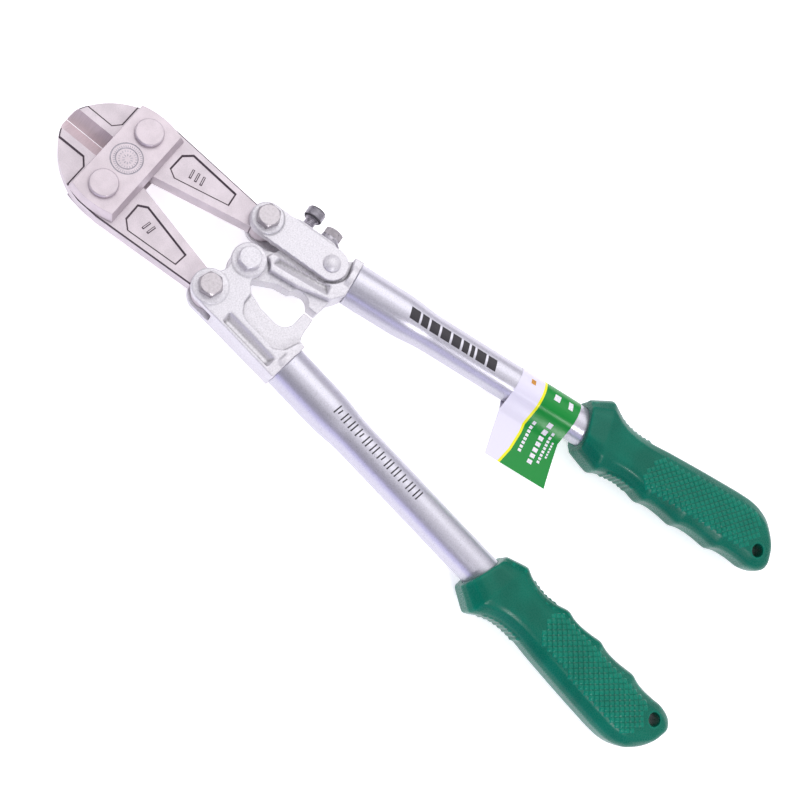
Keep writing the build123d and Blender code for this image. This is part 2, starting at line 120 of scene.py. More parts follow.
class CutterFinishes(bpy.types.PropertyGroup):
    """Colours of the finishes."""
    jaw_steel: colour("Jaw steel", "Bead-blasted faces of the jaws", "#CEC4CA")
    # The forging scale colour is painted shade: it darkens the steep recess walls of the jaws, where shade
    # falls.
    scale: colour("Forging scale", "Steep walls of the recesses in the jaws", "#544950")
    ground_steel: colour("Ground steel", "Ground cutting bevels", "#D8C7CC")
    strap_steel: colour("Strap steel", "Satin straps and jaw bolts", "#CABFC5")
    enamel: colour("Silver enamel", "Painted forgings", "#DAD7DC")
    lacquer: colour("Silver lacquer", "Handle tubes", "#CAC8D2")
    zinc: colour("Zinc plate", "Hexagon bolts and nuts", "#B6B0B4")
    oxide: colour("Oxide stain", "Adjusting screws", "#B4B0B8")
    # Darker steel: worn oxide on the knurled head and washers, and painted shade in the stamped seal's
    # grooves and on its ticks.
    dark_oxide_and_seal_shade: colour("Worn oxide and seal shade", "Knurled head, washers and the stamped seal", "#A09CA5")
    grip_green: colour("Grip green", "Moulded grips", "#007862")
    label_white: colour("Label white", "Blank part of the label", "#E6E2F2")
    label_yellow: colour("Label yellow", "Dividing line of the label", "#F2EC1E")
    label_green: colour("Label green", "Coloured part of the label", "#058A35")
    label_ochre: colour("Label ochre", "Emblem block of the label", "#C98A2E")
    print_black: colour("Print black", "Marks on the tubes", "#26222A")


class CutterStage(bpy.types.PropertyGroup):
    """Camera, floor and lights."""
    lens: FloatProperty(name="Lens", description="Focal length", unit="CAMERA", min=10, default=55.13)
    roll: FloatProperty(name="Roll", description="Turn of the camera about its own axis", subtype="ANGLE",
                        default=math.radians(59.467))
    floor: colour("Floor", "Plain paper floor", "#F4F3F6")
    key_power: FloatProperty(name="Key light", description="Power of the large soft light", unit="POWER",
                             min=0, default=4.2)
    glint_power: FloatProperty(name="Glint light", description="Power of the small bright light",
                               unit="POWER", min=0, default=2.2)
    edge_power: FloatProperty(name="Edge light", description="Power of the low lilac light", unit="POWER",
                              min=0, default=1.3)
    edge_tint: colour("Edge light tint", "Colour of the low light", "#BDBAF0")
    floor_glow: FloatProperty(name="Floor glow", description="Light of the backlit floor", min=0, default=0.6)
    sky: colour("Studio ceiling", "Colour of the diffuser overhead", "#FAF9FC")
    walls: colour("Studio walls", "Colour of the room near the floor", "#A9A6B4")
    shade: colour("Studio shade", "Colour of the darker side of the room", "#5E5B68")
    sky_strength: FloatProperty(name="Room brightness", description="Brightness of the room", min=0,
                                default=1.1)


# ---- modelling by hand ----------------------------------------------------------------------------
def only(*pieces):
    """Select these objects alone, in object mode, with the first one active."""
    if bpy.context.mode != "OBJECT":
        bpy.ops.object.mode_set(mode="OBJECT")
    bpy.ops.object.select_all(action="DESELECT")
    for piece in pieces:
        piece.select_set(True)
    bpy.context.view_layer.objects.active = pieces[0]


def start(name, primitive, **settings):
    """Add a primitive on its own and name it."""
    bpy.ops.object.select_all(action="DESELECT")
    primitive(**settings)
    piece = bpy.context.active_object
    piece.name = name
    return piece


def copy_node(node, name):
    """A merged copy of a frame node's mesh, as a new piece."""
    piece = bpy.data.objects.new(name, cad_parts[node].data.copy())
    piece.data.name = name
    bpy.context.scene.collection.objects.link(piece)
    piece.data.materials.clear()
    only(piece)
    bpy.ops.object.mode_set(mode="EDIT")
    bpy.ops.mesh.select_all(action="SELECT")
    bpy.ops.mesh.remove_doubles(threshold=0.002 * MM)
    bpy.ops.mesh.dissolve_limited(angle_limit=math.radians(0.5))
    bpy.ops.object.mode_set(mode="OBJECT")
    return piece


def copy_piece(piece, name):
    """A copy of a piece with its own mesh."""
    copy = piece.copy()
    copy.data = piece.data.copy()
    copy.name = name
    bpy.context.scene.collection.objects.link(copy)
    return copy


def use(piece, kind, **settings):
    """Add a modifier with its settings and apply it."""
    only(piece)
    modifier = piece.modifiers.new(kind.title(), kind)
    for key, value in settings.items():
        setattr(modifier, key, value)
    bpy.ops.object.modifier_apply(modifier=modifier.name)


def settle(piece):
    """Put a piece's place, turn and size into its mesh."""
    only(piece)
    bpy.ops.object.transform_apply(location=True, rotation=True, scale=True)


def pick(piece, part, test):
    """Enter edit mode with just the vertices, edges or faces that pass the test selected."""
    only(piece)
    bpy.ops.object.mode_set(mode="EDIT")
    bpy.ops.mesh.select_mode(type={"vertices": "VERT", "edges": "EDGE", "polygons": "FACE"}[part])
    bpy.ops.mesh.select_all(action="DESELECT")
    bpy.ops.object.mode_set(mode="OBJECT")
    found = 0
    for element in getattr(piece.data, part):
        element.select = bool(test(element))
        found += element.select
    bpy.ops.object.mode_set(mode="EDIT")
    return found


def soften(piece, angle=35):
    """Smooth shading with the sharper edges kept."""
    only(piece)
    bpy.ops.object.shade_smooth_by_angle(angle=math.radians(angle))


def break_edges(piece, width, segments=2, angle=28):
    """Round every sharp edge by a small width."""
    use(piece, "BEVEL", width=width, segments=segments, limit_method="ANGLE", angle_limit=math.radians(angle),
        use_clamp_overlap=True, miter_outer="MITER_ARC")
    soften(piece, 40)
    use(piece, "WEIGHTED_NORMAL", keep_sharp=True, weight=100)


def join(first, *others):
    """Join pieces into the first one."""
    only(first, *others)
    bpy.ops.object.join()
    return first


def set_faces_outward(piece):
    """Turn every face over if the highest one looks down."""
    top = max(piece.data.polygons, key=lambda face: face.center.z)
    if top.normal.z < 0:
        only(piece)
        bpy.ops.object.mode_set(mode="EDIT")
        bpy.ops.mesh.select_all(action="SELECT")
        bpy.ops.mesh.flip_normals()
        bpy.ops.object.mode_set(mode="OBJECT")


def put_on_handle(piece, side):
    """Move a piece drawn on the handle's own axis (X outward, -Y towards the grip) to its handle."""
    piece.location = PIVOT + Vector((side * AXIS_X, 0, 0))
    piece.rotation_euler = (0, 0, side * HANDLE_ANGLE)
    piece.scale = (side, 1, 1)
    settle(piece)
    set_faces_outward(piece)


def rings(stations):
    """Extrude the selected loop through stations of (s, u, turn, half width, half height) in mm."""
    s0, u0, turn0, wide0, high0 = stations[0]
    for s1, u1, turn1, wide1, high1 in stations[1:]:
        move = Vector((u1 - u0, s0 - s1, 0)) * MM
        bpy.ops.mesh.extrude_edges_move(TRANSFORM_OT_translate={"value": move})
        middle = Vector((u1, -s1, 0)) * MM
        turn_loop(middle, -turn0)
        bpy.ops.transform.resize(value=(wide1 / wide0, 1, high1 / high0), center_override=middle)
        turn_loop(middle, turn1)
        s0, u0, turn0, wide0, high0 = s1, u1, turn1, wide1, high1


def turn_loop(middle, degrees):
    """Turn the selection about the vertical through a point."""
    if abs(degrees) > 1e-6:
        bpy.ops.transform.rotate(value=-math.radians(degrees), orient_axis="Z", center_override=middle)


# ---- materials ------------------------------------------------------------------------------------
def add(tree, kind, sockets=None, **settings):
    """Add a node, set its own properties, and fill its sockets with values or links."""
    made = tree.nodes.new(kind)
    for key, value in settings.items():
        setattr(made, key, value)
    for key, value in (sockets or {}).items():
        if isinstance(value, bpy.types.NodeSocket):
            tree.links.new(value, made.inputs[key])
        else:
            made.inputs[key].default_value = value
    return made


def finish(name, base, metallic, roughness, specular=0.5):
    """A new material: its tree, its main shader and its object coordinates."""
    material = bpy.data.materials.new(name)
    material.use_nodes = True
    tree = material.node_tree
    main = tree.nodes["Principled BSDF"]
    main.inputs["Base Color"].default_value = rgba(base)
    main.inputs["Metallic"].default_value = metallic
    main.inputs["Roughness"].default_value = roughness
    main.inputs["Specular IOR Level"].default_value = specular
    place = add(tree, "ShaderNodeTexCoord").outputs["Object"]
    return material, tree, main, place


def per_mm(mm):
    """The noise scale whose features are about this many millimetres across."""
    return 1.0 / (mm * MM)


def tone(code, amount):
    """The same colour, lighter or darker."""
    return rgba(tuple(min(1.0, max(0.0, c * amount)) for c in code))


def jaw_steel_finish(colours):
    """Forged tool steel, bead-blasted: an even matt grey with a fine grit and faint heat-treat clouds."""
    material, tree, main, place = finish("Bead-blasted tool steel", colours.jaw_steel, 0.6, 0.46)
    clouds = add(tree, "ShaderNodeTexNoise", {"Vector": place, "Scale": per_mm(9.0), "Detail": 2.0})
    # the real grit is about 0.1 mm; it is drawn at 0.4 mm so that it shows
    grit = add(tree, "ShaderNodeTexNoise", {"Vector": place, "Scale": per_mm(0.4), "Detail": 3.0})
    mixed = add(tree, "ShaderNodeMath", {0: clouds.outputs["Fac"], 1: grit.outputs["Fac"]}, operation="ADD")
    share = add(tree, "ShaderNodeMapRange", {"Value": mixed.outputs[0], "From Min": 0.8, "From Max": 1.2})
    tint = add(tree, "ShaderNodeMix", {0: share.outputs[0], 6: tone(colours.jaw_steel, 0.88),
                                       7: tone(colours.jaw_steel, 1.07)}, data_type="RGBA")
    gloss = add(tree, "ShaderNodeMapRange", {"Value": grit.outputs["Fac"], "From Min": 0.3, "From Max": 0.7,
                                             "To Min": 0.38, "To Max": 0.54})
    bump = add(tree, "ShaderNodeBump", {"Height": grit.outputs["Fac"], "Distance": 0.05 * MM,
                                        "Strength": 0.6})
    tree.links.new(tint.outputs[2], main.inputs["Base Color"])
    tree.links.new(gloss.outputs[0], main.inputs["Roughness"])
    tree.links.new(bump.outputs["Normal"], main.inputs["Normal"])
    return material


def recess_shade_finish(colours):
    """Painted shade on the steep walls of a recess: dull and dark, so that the walls read as shaded."""
    material, tree, main, place = finish("Forging scale on tool steel", colours.scale, 0.1, 0.75, 0.3)
    crust = add(tree, "ShaderNodeTexNoise", {"Vector": place, "Scale": per_mm(0.6), "Detail": 3.0})
    tint = add(tree, "ShaderNodeMix", {0: crust.outputs["Fac"], 6: tone(colours.scale, 0.6),
                                       7: tone(colours.scale, 1.4)}, data_type="RGBA")
    bump = add(tree, "ShaderNodeBump", {"Height": crust.outputs["Fac"], "Distance": 0.06 * MM,
                                        "Strength": 0.6})
    tree.links.new(tint.outputs[2], main.inputs["Base Color"])
    tree.links.new(bump.outputs["Normal"], main.inputs["Normal"])
    return material


def ground_steel_finish(colours):
    """Tool steel ground across the edge: darker, with fine parallel grinding lines."""
    material, tree, main, place = finish("Ground tool steel", colours.ground_steel, 0.4, 0.42)
    across = add(tree, "ShaderNodeMapping", {"Vector": place, "Scale": (0.06, 1.0, 0.06)})
    lines = add(tree, "ShaderNodeTexNoise", {"Vector": across.outputs[0], "Scale": per_mm(0.3),
                                             "Detail": 2.0})
    tint = add(tree, "ShaderNodeMix", {0: lines.outputs["Fac"], 6: tone(colours.ground_steel, 0.82),
                                       7: tone(colours.ground_steel, 1.15)}, data_type="RGBA")
    bump = add(tree, "ShaderNodeBump", {"Height": lines.outputs["Fac"], "Distance": 0.03 * MM,
                                        "Strength": 0.6})
    tree.links.new(tint.outputs[2], main.inputs["Base Color"])
    tree.links.new(bump.outputs["Normal"], main.inputs["Normal"])
    return material


def strap_steel_finish(colours):
    """Pressed steel with a satin nickel plate: pale, soft highlights over a fine tumbled grain."""
    material, tree, main, place = finish("Satin nickel-plated steel", colours.strap_steel, 0.6, 0.42)
    grain = add(tree, "ShaderNodeTexNoise", {"Vector": place, "Scale": per_mm(0.45), "Detail": 3.0})
    clouds = add(tree, "ShaderNodeTexNoise", {"Vector": place, "Scale": per_mm(5.0), "Detail": 2.0})
    mixed = add(tree, "ShaderNodeMath", {0: grain.outputs["Fac"], 1: clouds.outputs["Fac"]}, operation="ADD")
    share = add(tree, "ShaderNodeMapRange", {"Value": mixed.outputs[0], "From Min": 0.8, "From Max": 1.2})
    tint = add(tree, "ShaderNodeMix", {0: share.outputs[0], 6: tone(colours.strap_steel, 0.92),
                                       7: tone(colours.strap_steel, 1.07)}, data_type="RGBA")
    gloss = add(tree, "ShaderNodeMapRange", {"Value": grain.outputs["Fac"], "From Min": 0.3, "From Max": 0.7,
                                             "To Min": 0.34, "To Max": 0.5})
    bump = add(tree, "ShaderNodeBump", {"Height": grain.outputs["Fac"], "Distance": 0.05 * MM,
                                        "Strength": 0.6})
    tree.links.new(tint.outputs[2], main.inputs["Base Color"])
    tree.links.new(gloss.outputs[0], main.inputs["Roughness"])
    tree.links.new(bump.outputs["Normal"], main.inputs["Normal"])
    return material


def enamel_finish(colours):
    """Silver stove enamel on a drop forging: the scale's pits show through, and the hollows are darkened as
    painted shade.
    """
    material, tree, main, place = finish("Silver enamel on forged steel", colours.enamel, 0.35, 0.36)
    pits = add(tree, "ShaderNodeTexNoise", {"Vector": place, "Scale": per_mm(0.6), "Detail": 4.0,
                                            "Roughness": 0.6})
    waves = add(tree, "ShaderNodeTexNoise", {"Vector": place, "Scale": per_mm(3.5), "Detail": 2.0})
    surface = add(tree, "ShaderNodeNewGeometry")
    # Painted shade: hollows, where pointiness is low, are darkened to 0.28 of the enamel colour.
    hollow = add(tree, "ShaderNodeMapRange", {"Value": surface.outputs["Pointiness"], "From Min": 0.44,
                                              "From Max": 0.495})
    painted_hollow_shade = add(tree, "ShaderNodeMix", {0: hollow.outputs[0], 6: tone(colours.enamel, 0.28),
                                       7: tone(colours.enamel, 1.0)}, data_type="RGBA")
    fleck = add(tree, "ShaderNodeMapRange", {"Value": pits.outputs["Fac"], "From Min": 0.3, "From Max": 0.6,
                                             "To Min": 0.82, "To Max": 1.04})
    tint = add(tree, "ShaderNodeVectorMath", {0: painted_hollow_shade.outputs[2],
                                              "Scale": fleck.outputs[0]}, operation="SCALE")
    gloss = add(tree, "ShaderNodeMapRange", {"Value": pits.outputs["Fac"], "From Min": 0.3, "From Max": 0.7,
                                             "To Min": 0.46, "To Max": 0.3})
    height = add(tree, "ShaderNodeMath", {0: pits.outputs["Fac"], 1: waves.outputs["Fac"]}, operation="ADD")
    bump = add(tree, "ShaderNodeBump", {"Height": height.outputs[0], "Distance": 0.12 * MM, "Strength": 0.8})
    tree.links.new(tint.outputs[0], main.inputs["Base Color"])
    tree.links.new(gloss.outputs[0], main.inputs["Roughness"])
    tree.links.new(bump.outputs["Normal"], main.inputs["Normal"])
    return material


def lacquer_finish(colours):
    """Aluminium-pigment lacquer on drawn tube: smooth and silvery, with fine pigment flecks."""
    material, tree, main, place = finish("Silver lacquer on steel tube", colours.lacquer, 0.62, 0.3)
    flecks = add(tree, "ShaderNodeTexNoise", {"Vector": place, "Scale": per_mm(0.5), "Detail": 3.0,
                                              "Roughness": 0.7})
    share = add(tree, "ShaderNodeMapRange", {"Value": flecks.outputs["Fac"], "From Min": 0.35,
                                             "From Max": 0.65})
    tint = add(tree, "ShaderNodeMix", {0: share.outputs[0], 6: tone(colours.lacquer, 0.86),
                                       7: tone(colours.lacquer, 1.08)}, data_type="RGBA")
    gloss = add(tree, "ShaderNodeMapRange", {"Value": flecks.outputs["Fac"], "From Min": 0.3, "From Max": 0.7,
                                             "To Min": 0.27, "To Max": 0.36})
    bump = add(tree, "ShaderNodeBump", {"Height": flecks.outputs["Fac"], "Distance": 0.03 * MM,
                                        "Strength": 0.4})
    tree.links.new(tint.outputs[2], main.inputs["Base Color"])
    tree.links.new(gloss.outputs[0], main.inputs["Roughness"])
    tree.links.new(bump.outputs["Normal"], main.inputs["Normal"])
    return material


def metal_finish(name, base, metallic, dark, light):
    """Small turned or plated steel: zinc blooms or rubbed oxide vary its tone and its gloss."""
    material, tree, main, place = finish(name, base, metallic, 0.36)
    blooms = add(tree, "ShaderNodeTexNoise", {"Vector": place, "Scale": per_mm(1.2), "Detail": 4.0})
    share = add(tree, "ShaderNodeMapRange", {"Value": blooms.outputs["Fac"], "From Min": 0.35,
                                             "From Max": 0.65})
    tint = add(tree, "ShaderNodeMix", {0: share.outputs[0], 6: tone(base, dark), 7: tone(base, light)},
               data_type="RGBA")
    gloss = add(tree, "ShaderNodeMapRange", {"Value": blooms.outputs["Fac"], "From Min": 0.3, "From Max": 0.7,
                                             "To Min": 0.26, "To Max": 0.46})
    bump = add(tree, "ShaderNodeBump", {"Height": blooms.outputs["Fac"], "Distance": 0.07 * MM,
                                        "Strength": 0.5})
    tree.links.new(tint.outputs[2], main.inputs["Base Color"])
    tree.links.new(gloss.outputs[0], main.inputs["Roughness"])
    tree.links.new(bump.outputs["Normal"], main.inputs["Normal"])
    return material


def grip_finish(colours):
    """Green moulded PVC: glossy off the mould, with painted shade making the hollows a deeper green than the
    crests.
    """
    material, tree, main, place = finish("Green moulded PVC", colours.grip_green, 0.0, 0.24, 0.2)
    skin = add(tree, "ShaderNodeTexNoise", {"Vector": place, "Scale": per_mm(0.6), "Detail": 3.0})
    flow = add(tree, "ShaderNodeTexNoise", {"Vector": place, "Scale": per_mm(12.0), "Detail": 2.0})
    surface = add(tree, "ShaderNodeNewGeometry")
    # Painted shade: hollows, where pointiness is low, are darkened to 0.42 of the green.
    crest = add(tree, "ShaderNodeMapRange", {"Value": surface.outputs["Pointiness"], "From Min": 0.46,
                                             "From Max": 0.55})
    painted_hollow_shade = add(tree, "ShaderNodeMix", {0: crest.outputs[0], 6: tone(colours.grip_green, 0.42),
                                       7: tone(colours.grip_green, 1.0)}, data_type="RGBA")
    patch = add(tree, "ShaderNodeMapRange", {"Value": flow.outputs["Fac"], "From Min": 0.35, "From Max": 0.65,
                                             "To Min": 0.9, "To Max": 1.1})
    tint = add(tree, "ShaderNodeVectorMath", {0: painted_hollow_shade.outputs[2],
                                              "Scale": patch.outputs[0]}, operation="SCALE")
    gloss = add(tree, "ShaderNodeMapRange", {"Value": skin.outputs["Fac"], "From Min": 0.3, "From Max": 0.7,
                                             "To Min": 0.22, "To Max": 0.34})
    bump = add(tree, "ShaderNodeBump", {"Height": skin.outputs["Fac"], "Distance": 0.02 * MM,
                                        "Strength": 0.3})
    tree.links.new(tint.outputs[0], main.inputs["Base Color"])
    tree.links.new(gloss.outputs[0], main.inputs["Roughness"])
    tree.links.new(bump.outputs["Normal"], main.inputs["Normal"])
    return material


def label_finish(colours):
    """Gloss-laminated paper: a blank end, a yellow line and a green field, printed along the strip."""
    material, tree, main, place = finish("Laminated paper label", colours.label_green, 0.0, 0.25, 0.3)
    strip = add(tree, "ShaderNodeUVMap", uv_map="Strip")
    parts = add(tree, "ShaderNodeSeparateXYZ", {0: strip.outputs[0]})
    line = add(tree, "ShaderNodeMath", {0: parts.outputs[0], 1: 0.5}, operation="GREATER_THAN")
    field = add(tree, "ShaderNodeMath", {0: parts.outputs[0], 1: 0.53}, operation="GREATER_THAN")
    pale = add(tree, "ShaderNodeMix", {0: line.outputs[0], 6: rgba(colours.label_white),
                                       7: rgba(colours.label_yellow)}, data_type="RGBA")
    print_tint = add(tree, "ShaderNodeMix", {0: field.outputs[0], 6: pale.outputs[2],
                                             7: rgba(colours.label_green)}, data_type="RGBA")
    cockle = add(tree, "ShaderNodeTexNoise", {"Vector": place, "Scale": per_mm(7.0), "Detail": 2.0})
    bump = add(tree, "ShaderNodeBump", {"Height": cockle.outputs["Fac"], "Distance": 0.2 * MM,
                                        "Strength": 0.3})
    tree.links.new(print_tint.outputs[2], main.inputs["Base Color"])
    tree.links.new(bump.outputs["Normal"], main.inputs["Normal"])
    return material


def ink_finish(name, base):
    """Screen-print ink: flat colour with a slightly uneven film."""
    material, tree, main, place = finish(name, base, 0.0, 0.45)
    film = add(tree, "ShaderNodeTexNoise", {"Vector": place, "Scale": per_mm(0.6), "Detail": 3.0})
    share = add(tree, "ShaderNodeMapRange", {"Value": film.outputs["Fac"], "From Min": 0.3, "From Max": 0.7})
    tint = add(tree, "ShaderNodeMix", {0: share.outputs[0], 6: tone(base, 0.8), 7: tone(base, 1.25)},
               data_type="RGBA")
    tree.links.new(tint.outputs[2], main.inputs["Base Color"])
    return material


FINISHES = {}


def finishes():
    """Make every finish once."""
    if not FINISHES:
        colours = bpy.context.scene.cutter_finishes
        FINISHES.update({
            "jaw": jaw_steel_finish(colours),
            "ground": ground_steel_finish(colours),
            "strap": strap_steel_finish(colours),
            "enamel": enamel_finish(colours),
            "lacquer": lacquer_finish(colours),
            # scale: painted shade for the steep recess walls of the jaws
            "scale": recess_shade_finish(colours),
            "zinc": metal_finish("Zinc-plated bolt steel", colours.zinc, 0.8, 0.84, 1.12),
            "oxide": metal_finish("Oxide-stained steel", colours.oxide, 0.7, 0.7, 1.3),
            # Worn oxide on the knurled head and washer; painted shade on the strap seal's grooves and ticks.
            "rubbed": metal_finish("Rubbed dark steel", colours.dark_oxide_and_seal_shade, 0.6, 0.75, 1.2),
            "grip": grip_finish(colours),
            "label": label_finish(colours),
            "black ink": ink_finish("Black screen-print ink", colours.print_black),
            "white ink": ink_finish("White label ink", colours.label_white),
            "ochre ink": ink_finish("Ochre label ink", colours.label_ochre),
        })
    return FINISHES


def hand_over(piece, body, slot, finish_name, *nodes):
    """Give a finished piece its material and its body, and hide the frame nodes it stands for."""
    if finish_name:
        piece.data.materials.clear()
        piece.data.materials.append(finishes()[finish_name])
    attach(piece, body)
    if nodes:
        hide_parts(*nodes)


# ---- jaws and straps ------------------------------------------------------------------------------
BEVEL_REACH = 5.9 * MM          # the cutting bevels lie nearer the middle than this
SEAL_R = 7.2 * MM               # the stamped seal lies inside this radius
GROOVE_DEPTH = 0.2 * MM
TICK_HEIGHT = 0.08
# rings of ticks: how many, on what radius, half their length and half their width
SEAL_RINGS = ((40, 5.42, 0.5, 0.16), (20, 3.4, 0.42, 0.2), (10, 1.7, 0.6, 0.2))


class CutterJaws(bpy.types.Operator):
    """Model both jaws with broken edges and ground cutting bevels"""
    bl_idname = "cutter.jaws"
    bl_label = "Jaws"

    def execute(self, context):
        sizes = context.scene.cutter_sizes
        strap_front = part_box("strap_front")[0].y
        for node in ("jaw_lower", "jaw_upper"):
            piece = copy_node(node, node + "_forging")
            low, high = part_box(node)
            depth, draft = sizes.recess_depth, sizes.recess_draft
            self.draft_walls(piece, low, high, 0, depth, draft)
            self.draft_walls(piece, low, high, depth / 2, depth / 2, draft / 2)
            break_edges(piece, sizes.edge_break, 2)
            hand_over(piece, node, "jaw_steel", "jaw", node)
            piece.data.materials.append(finishes()["ground"])
            # The third material paints shade on the steep recess walls.
            piece.data.materials.append(finishes()["scale"])
            for face in piece.data.polygons:
                if self.is_ground(face, strap_front):
                    face.material_index = 1
                elif self.is_recess_wall(face, low, high, sizes.recess_depth):
                    face.material_index = 2
        return {"FINISHED"}

    def draft_walls(self, piece, low, high, drop, tall, draft):
        """Slope the steep walls of one height whose upper edges lie a drop below the jaw's flat."""
        near = 0.02 * MM
        walls = set()
        for face in piece.data.polygons:
            heights = [piece.data.vertices[i].co.z for i in face.vertices]
            if abs(face.normal.z) < 0.1 and abs(max(heights) - min(heights) - tall) < near:
                walls.update(face.edge_keys)

        def is_rim(edge):
            a, b = (piece.data.vertices[i].co for i in edge.vertices)
            level = abs(min(high.z - a.z, a.z - low.z) - drop) < near
            return edge.key in walls and level and abs(a.z - b.z) < near
        if not pick(piece, "edges", is_rim):
            raise RuntimeError("no recess found in " + piece.name)
        bpy.ops.mesh.bevel(offset=draft, segments=1, affect="EDGES", loop_slide=False)
        bpy.ops.object.mode_set(mode="OBJECT")

    def is_ground(self, face, strap_front):
        """Whether a face belongs to the ground cutting bevel."""
        past_strap = face.center.y > strap_front
        return past_strap and abs(face.center.x) < BEVEL_REACH and 0.2 < abs(face.normal.x) < 0.999

    def is_recess_wall(self, face, low, high, depth):
        """Whether a face is the steep wall between a jaw's flat and the floor of a recess."""
        under = min(high.z - face.center.z, face.center.z - low.z)
        return abs(face.normal.z) < 0.85 and 0.12 * depth < under < depth * 0.9


class CutterStraps(bpy.types.Operator):
    """Model the two straps with rounded edges, and the ticks of the stamped seal"""
    bl_idname = "cutter.straps"
    bl_label = "Straps"

    def execute(self, context):
        sizes = context.scene.cutter_sizes
        for node, up in (("strap_front", 1), ("strap_back", -1)):
            piece = copy_node(node, node + "_pressing")
            break_edges(piece, sizes.edge_break * 2, 3, 20)
            low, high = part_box(node)
            hand_over(piece, "straps", "strap_steel", "strap", node)
            piece.data.materials.append(finishes()["rubbed"])
            middle = ((low + high) / 2).to_2d()
            # Painted shade: the faces at the depth of the seal's grooves get the darker steel.
            for face in piece.data.polygons:
                under = high.z - face.center.z if up > 0 else face.center.z - low.z
                near_seal = (face.center.to_2d() - middle).length < SEAL_R
                if near_seal and 0.3 * GROOVE_DEPTH < under < 1.5 * GROOVE_DEPTH:
                    face.material_index = 1
            seal = self.seal(node + "_seal", middle, high.z if up > 0 else low.z)
            # Painted shade: the slightly raised ticks get the darker steel so that they read like stamped
            # marks.
            hand_over(seal, "straps", "strap_steel", "rubbed")
        return {"FINISHED"}

    def seal(self, name, middle, face_z):
        """A plain stamped pattern: rings of short ticks between the two grooves and inside them."""
        made = []
        for count, radius, half_long, half_wide in SEAL_RINGS:
            tick = start(name, bpy.ops.mesh.primitive_cylinder_add, vertices=8, radius=half_wide * MM,
                         depth=TICK_HEIGHT * MM, location=(radius * MM, 0, 0))
            tick.scale = (half_long / half_wide, 1, 1)
            settle(tick)
            for i in range(count):
                copy = copy_piece(tick, name)
                copy.rotation_euler = (0, 0, 2 * math.pi * i / count)
                settle(copy)
                made.append(copy)
            bpy.data.objects.remove(tick)
        seal = join(*made)
        seal.location = (middle.x, middle.y, face_z)
        settle(seal)
        return seal


# ---- bolts and nuts -------------------------------------------------------------------------------
# node, body, slot, finish, and how many bolt edge breaks wide its rounding is
BOLT_ROWS = (
    ("jaw_bolt_lower", "straps", "strap_steel", "strap", 2.2),
    ("jaw_bolt_upper", "straps", "strap_steel", "strap", 2.2),
    ("jaw_nut_lower", "straps", "zinc_steel", "zinc", 1),
    ("jaw_nut_upper", "straps", "zinc_steel", "zinc", 1),
    ("tail_bolt_lower", "lower_handle", "zinc_steel", "zinc", 1),
    ("tail_nut_lower", "lower_handle", "zinc_steel", "zinc", 1),
    ("tail_bolt_upper", "adjusting_link", "zinc_steel", "zinc", 1),
    ("tail_nut_upper", "adjusting_link", "zinc_steel", "zinc", 1),
    ("centre_bolt", "lower_handle", "head_paint", "enamel", 1.3),
    ("centre_nut", "lower_handle", "zinc_steel", "zinc", 1),
    ("link_rivet", "upper_handle", "head_paint", "enamel", 1),
)


class CutterBolts(bpy.types.Operator):
    """Model the pivot bolts, nuts, jaw bolts and link rivet with rounded edges"""
    bl_idname = "cutter.bolts"
    bl_label = "Bolts and nuts"

    def execute(self, context):
        width = context.scene.cutter_sizes.bolt_break
        for node, body, slot, finish_name, share in BOLT_ROWS:
            piece = copy_node(node, node + "_turned")
            break_edges(piece, width * share, 3, 25)
            hand_over(piece, body, slot, finish_name, node)
        return {"FINISHED"}


# ---- adjusting screws -----------------------------------------------------------------------------
# The screws stand on the link's middle line, which runs from its tail bolt to its rivet; their own
# sizes are millimetres out from that line or from their axis.
LINK_FRONT = PIVOT + Vector((19.1, 5.2, 0)) * MM
LINK_REAR = PIVOT + Vector((21.7, -27.1, 0)) * MM
PUSH_S, PULL_S = 15.2, 26.2             # places of the two screws along the link
THREAD_CREST, CORE_R = 2.5, 1.98
CORE_LOW, THREAD_LOW, THREAD_HIGH = 6.4, 8.6, 14.8
HEAD_R, HEAD_LOW, HEAD_H = 4.15, 14.6, 3.6
HEAD_RIDGES = 44
SPRING_R, SPRING_WIDE, SPRING_HIGH, SPRING_AT = 3.45, 1.6, 1.24, 10.85


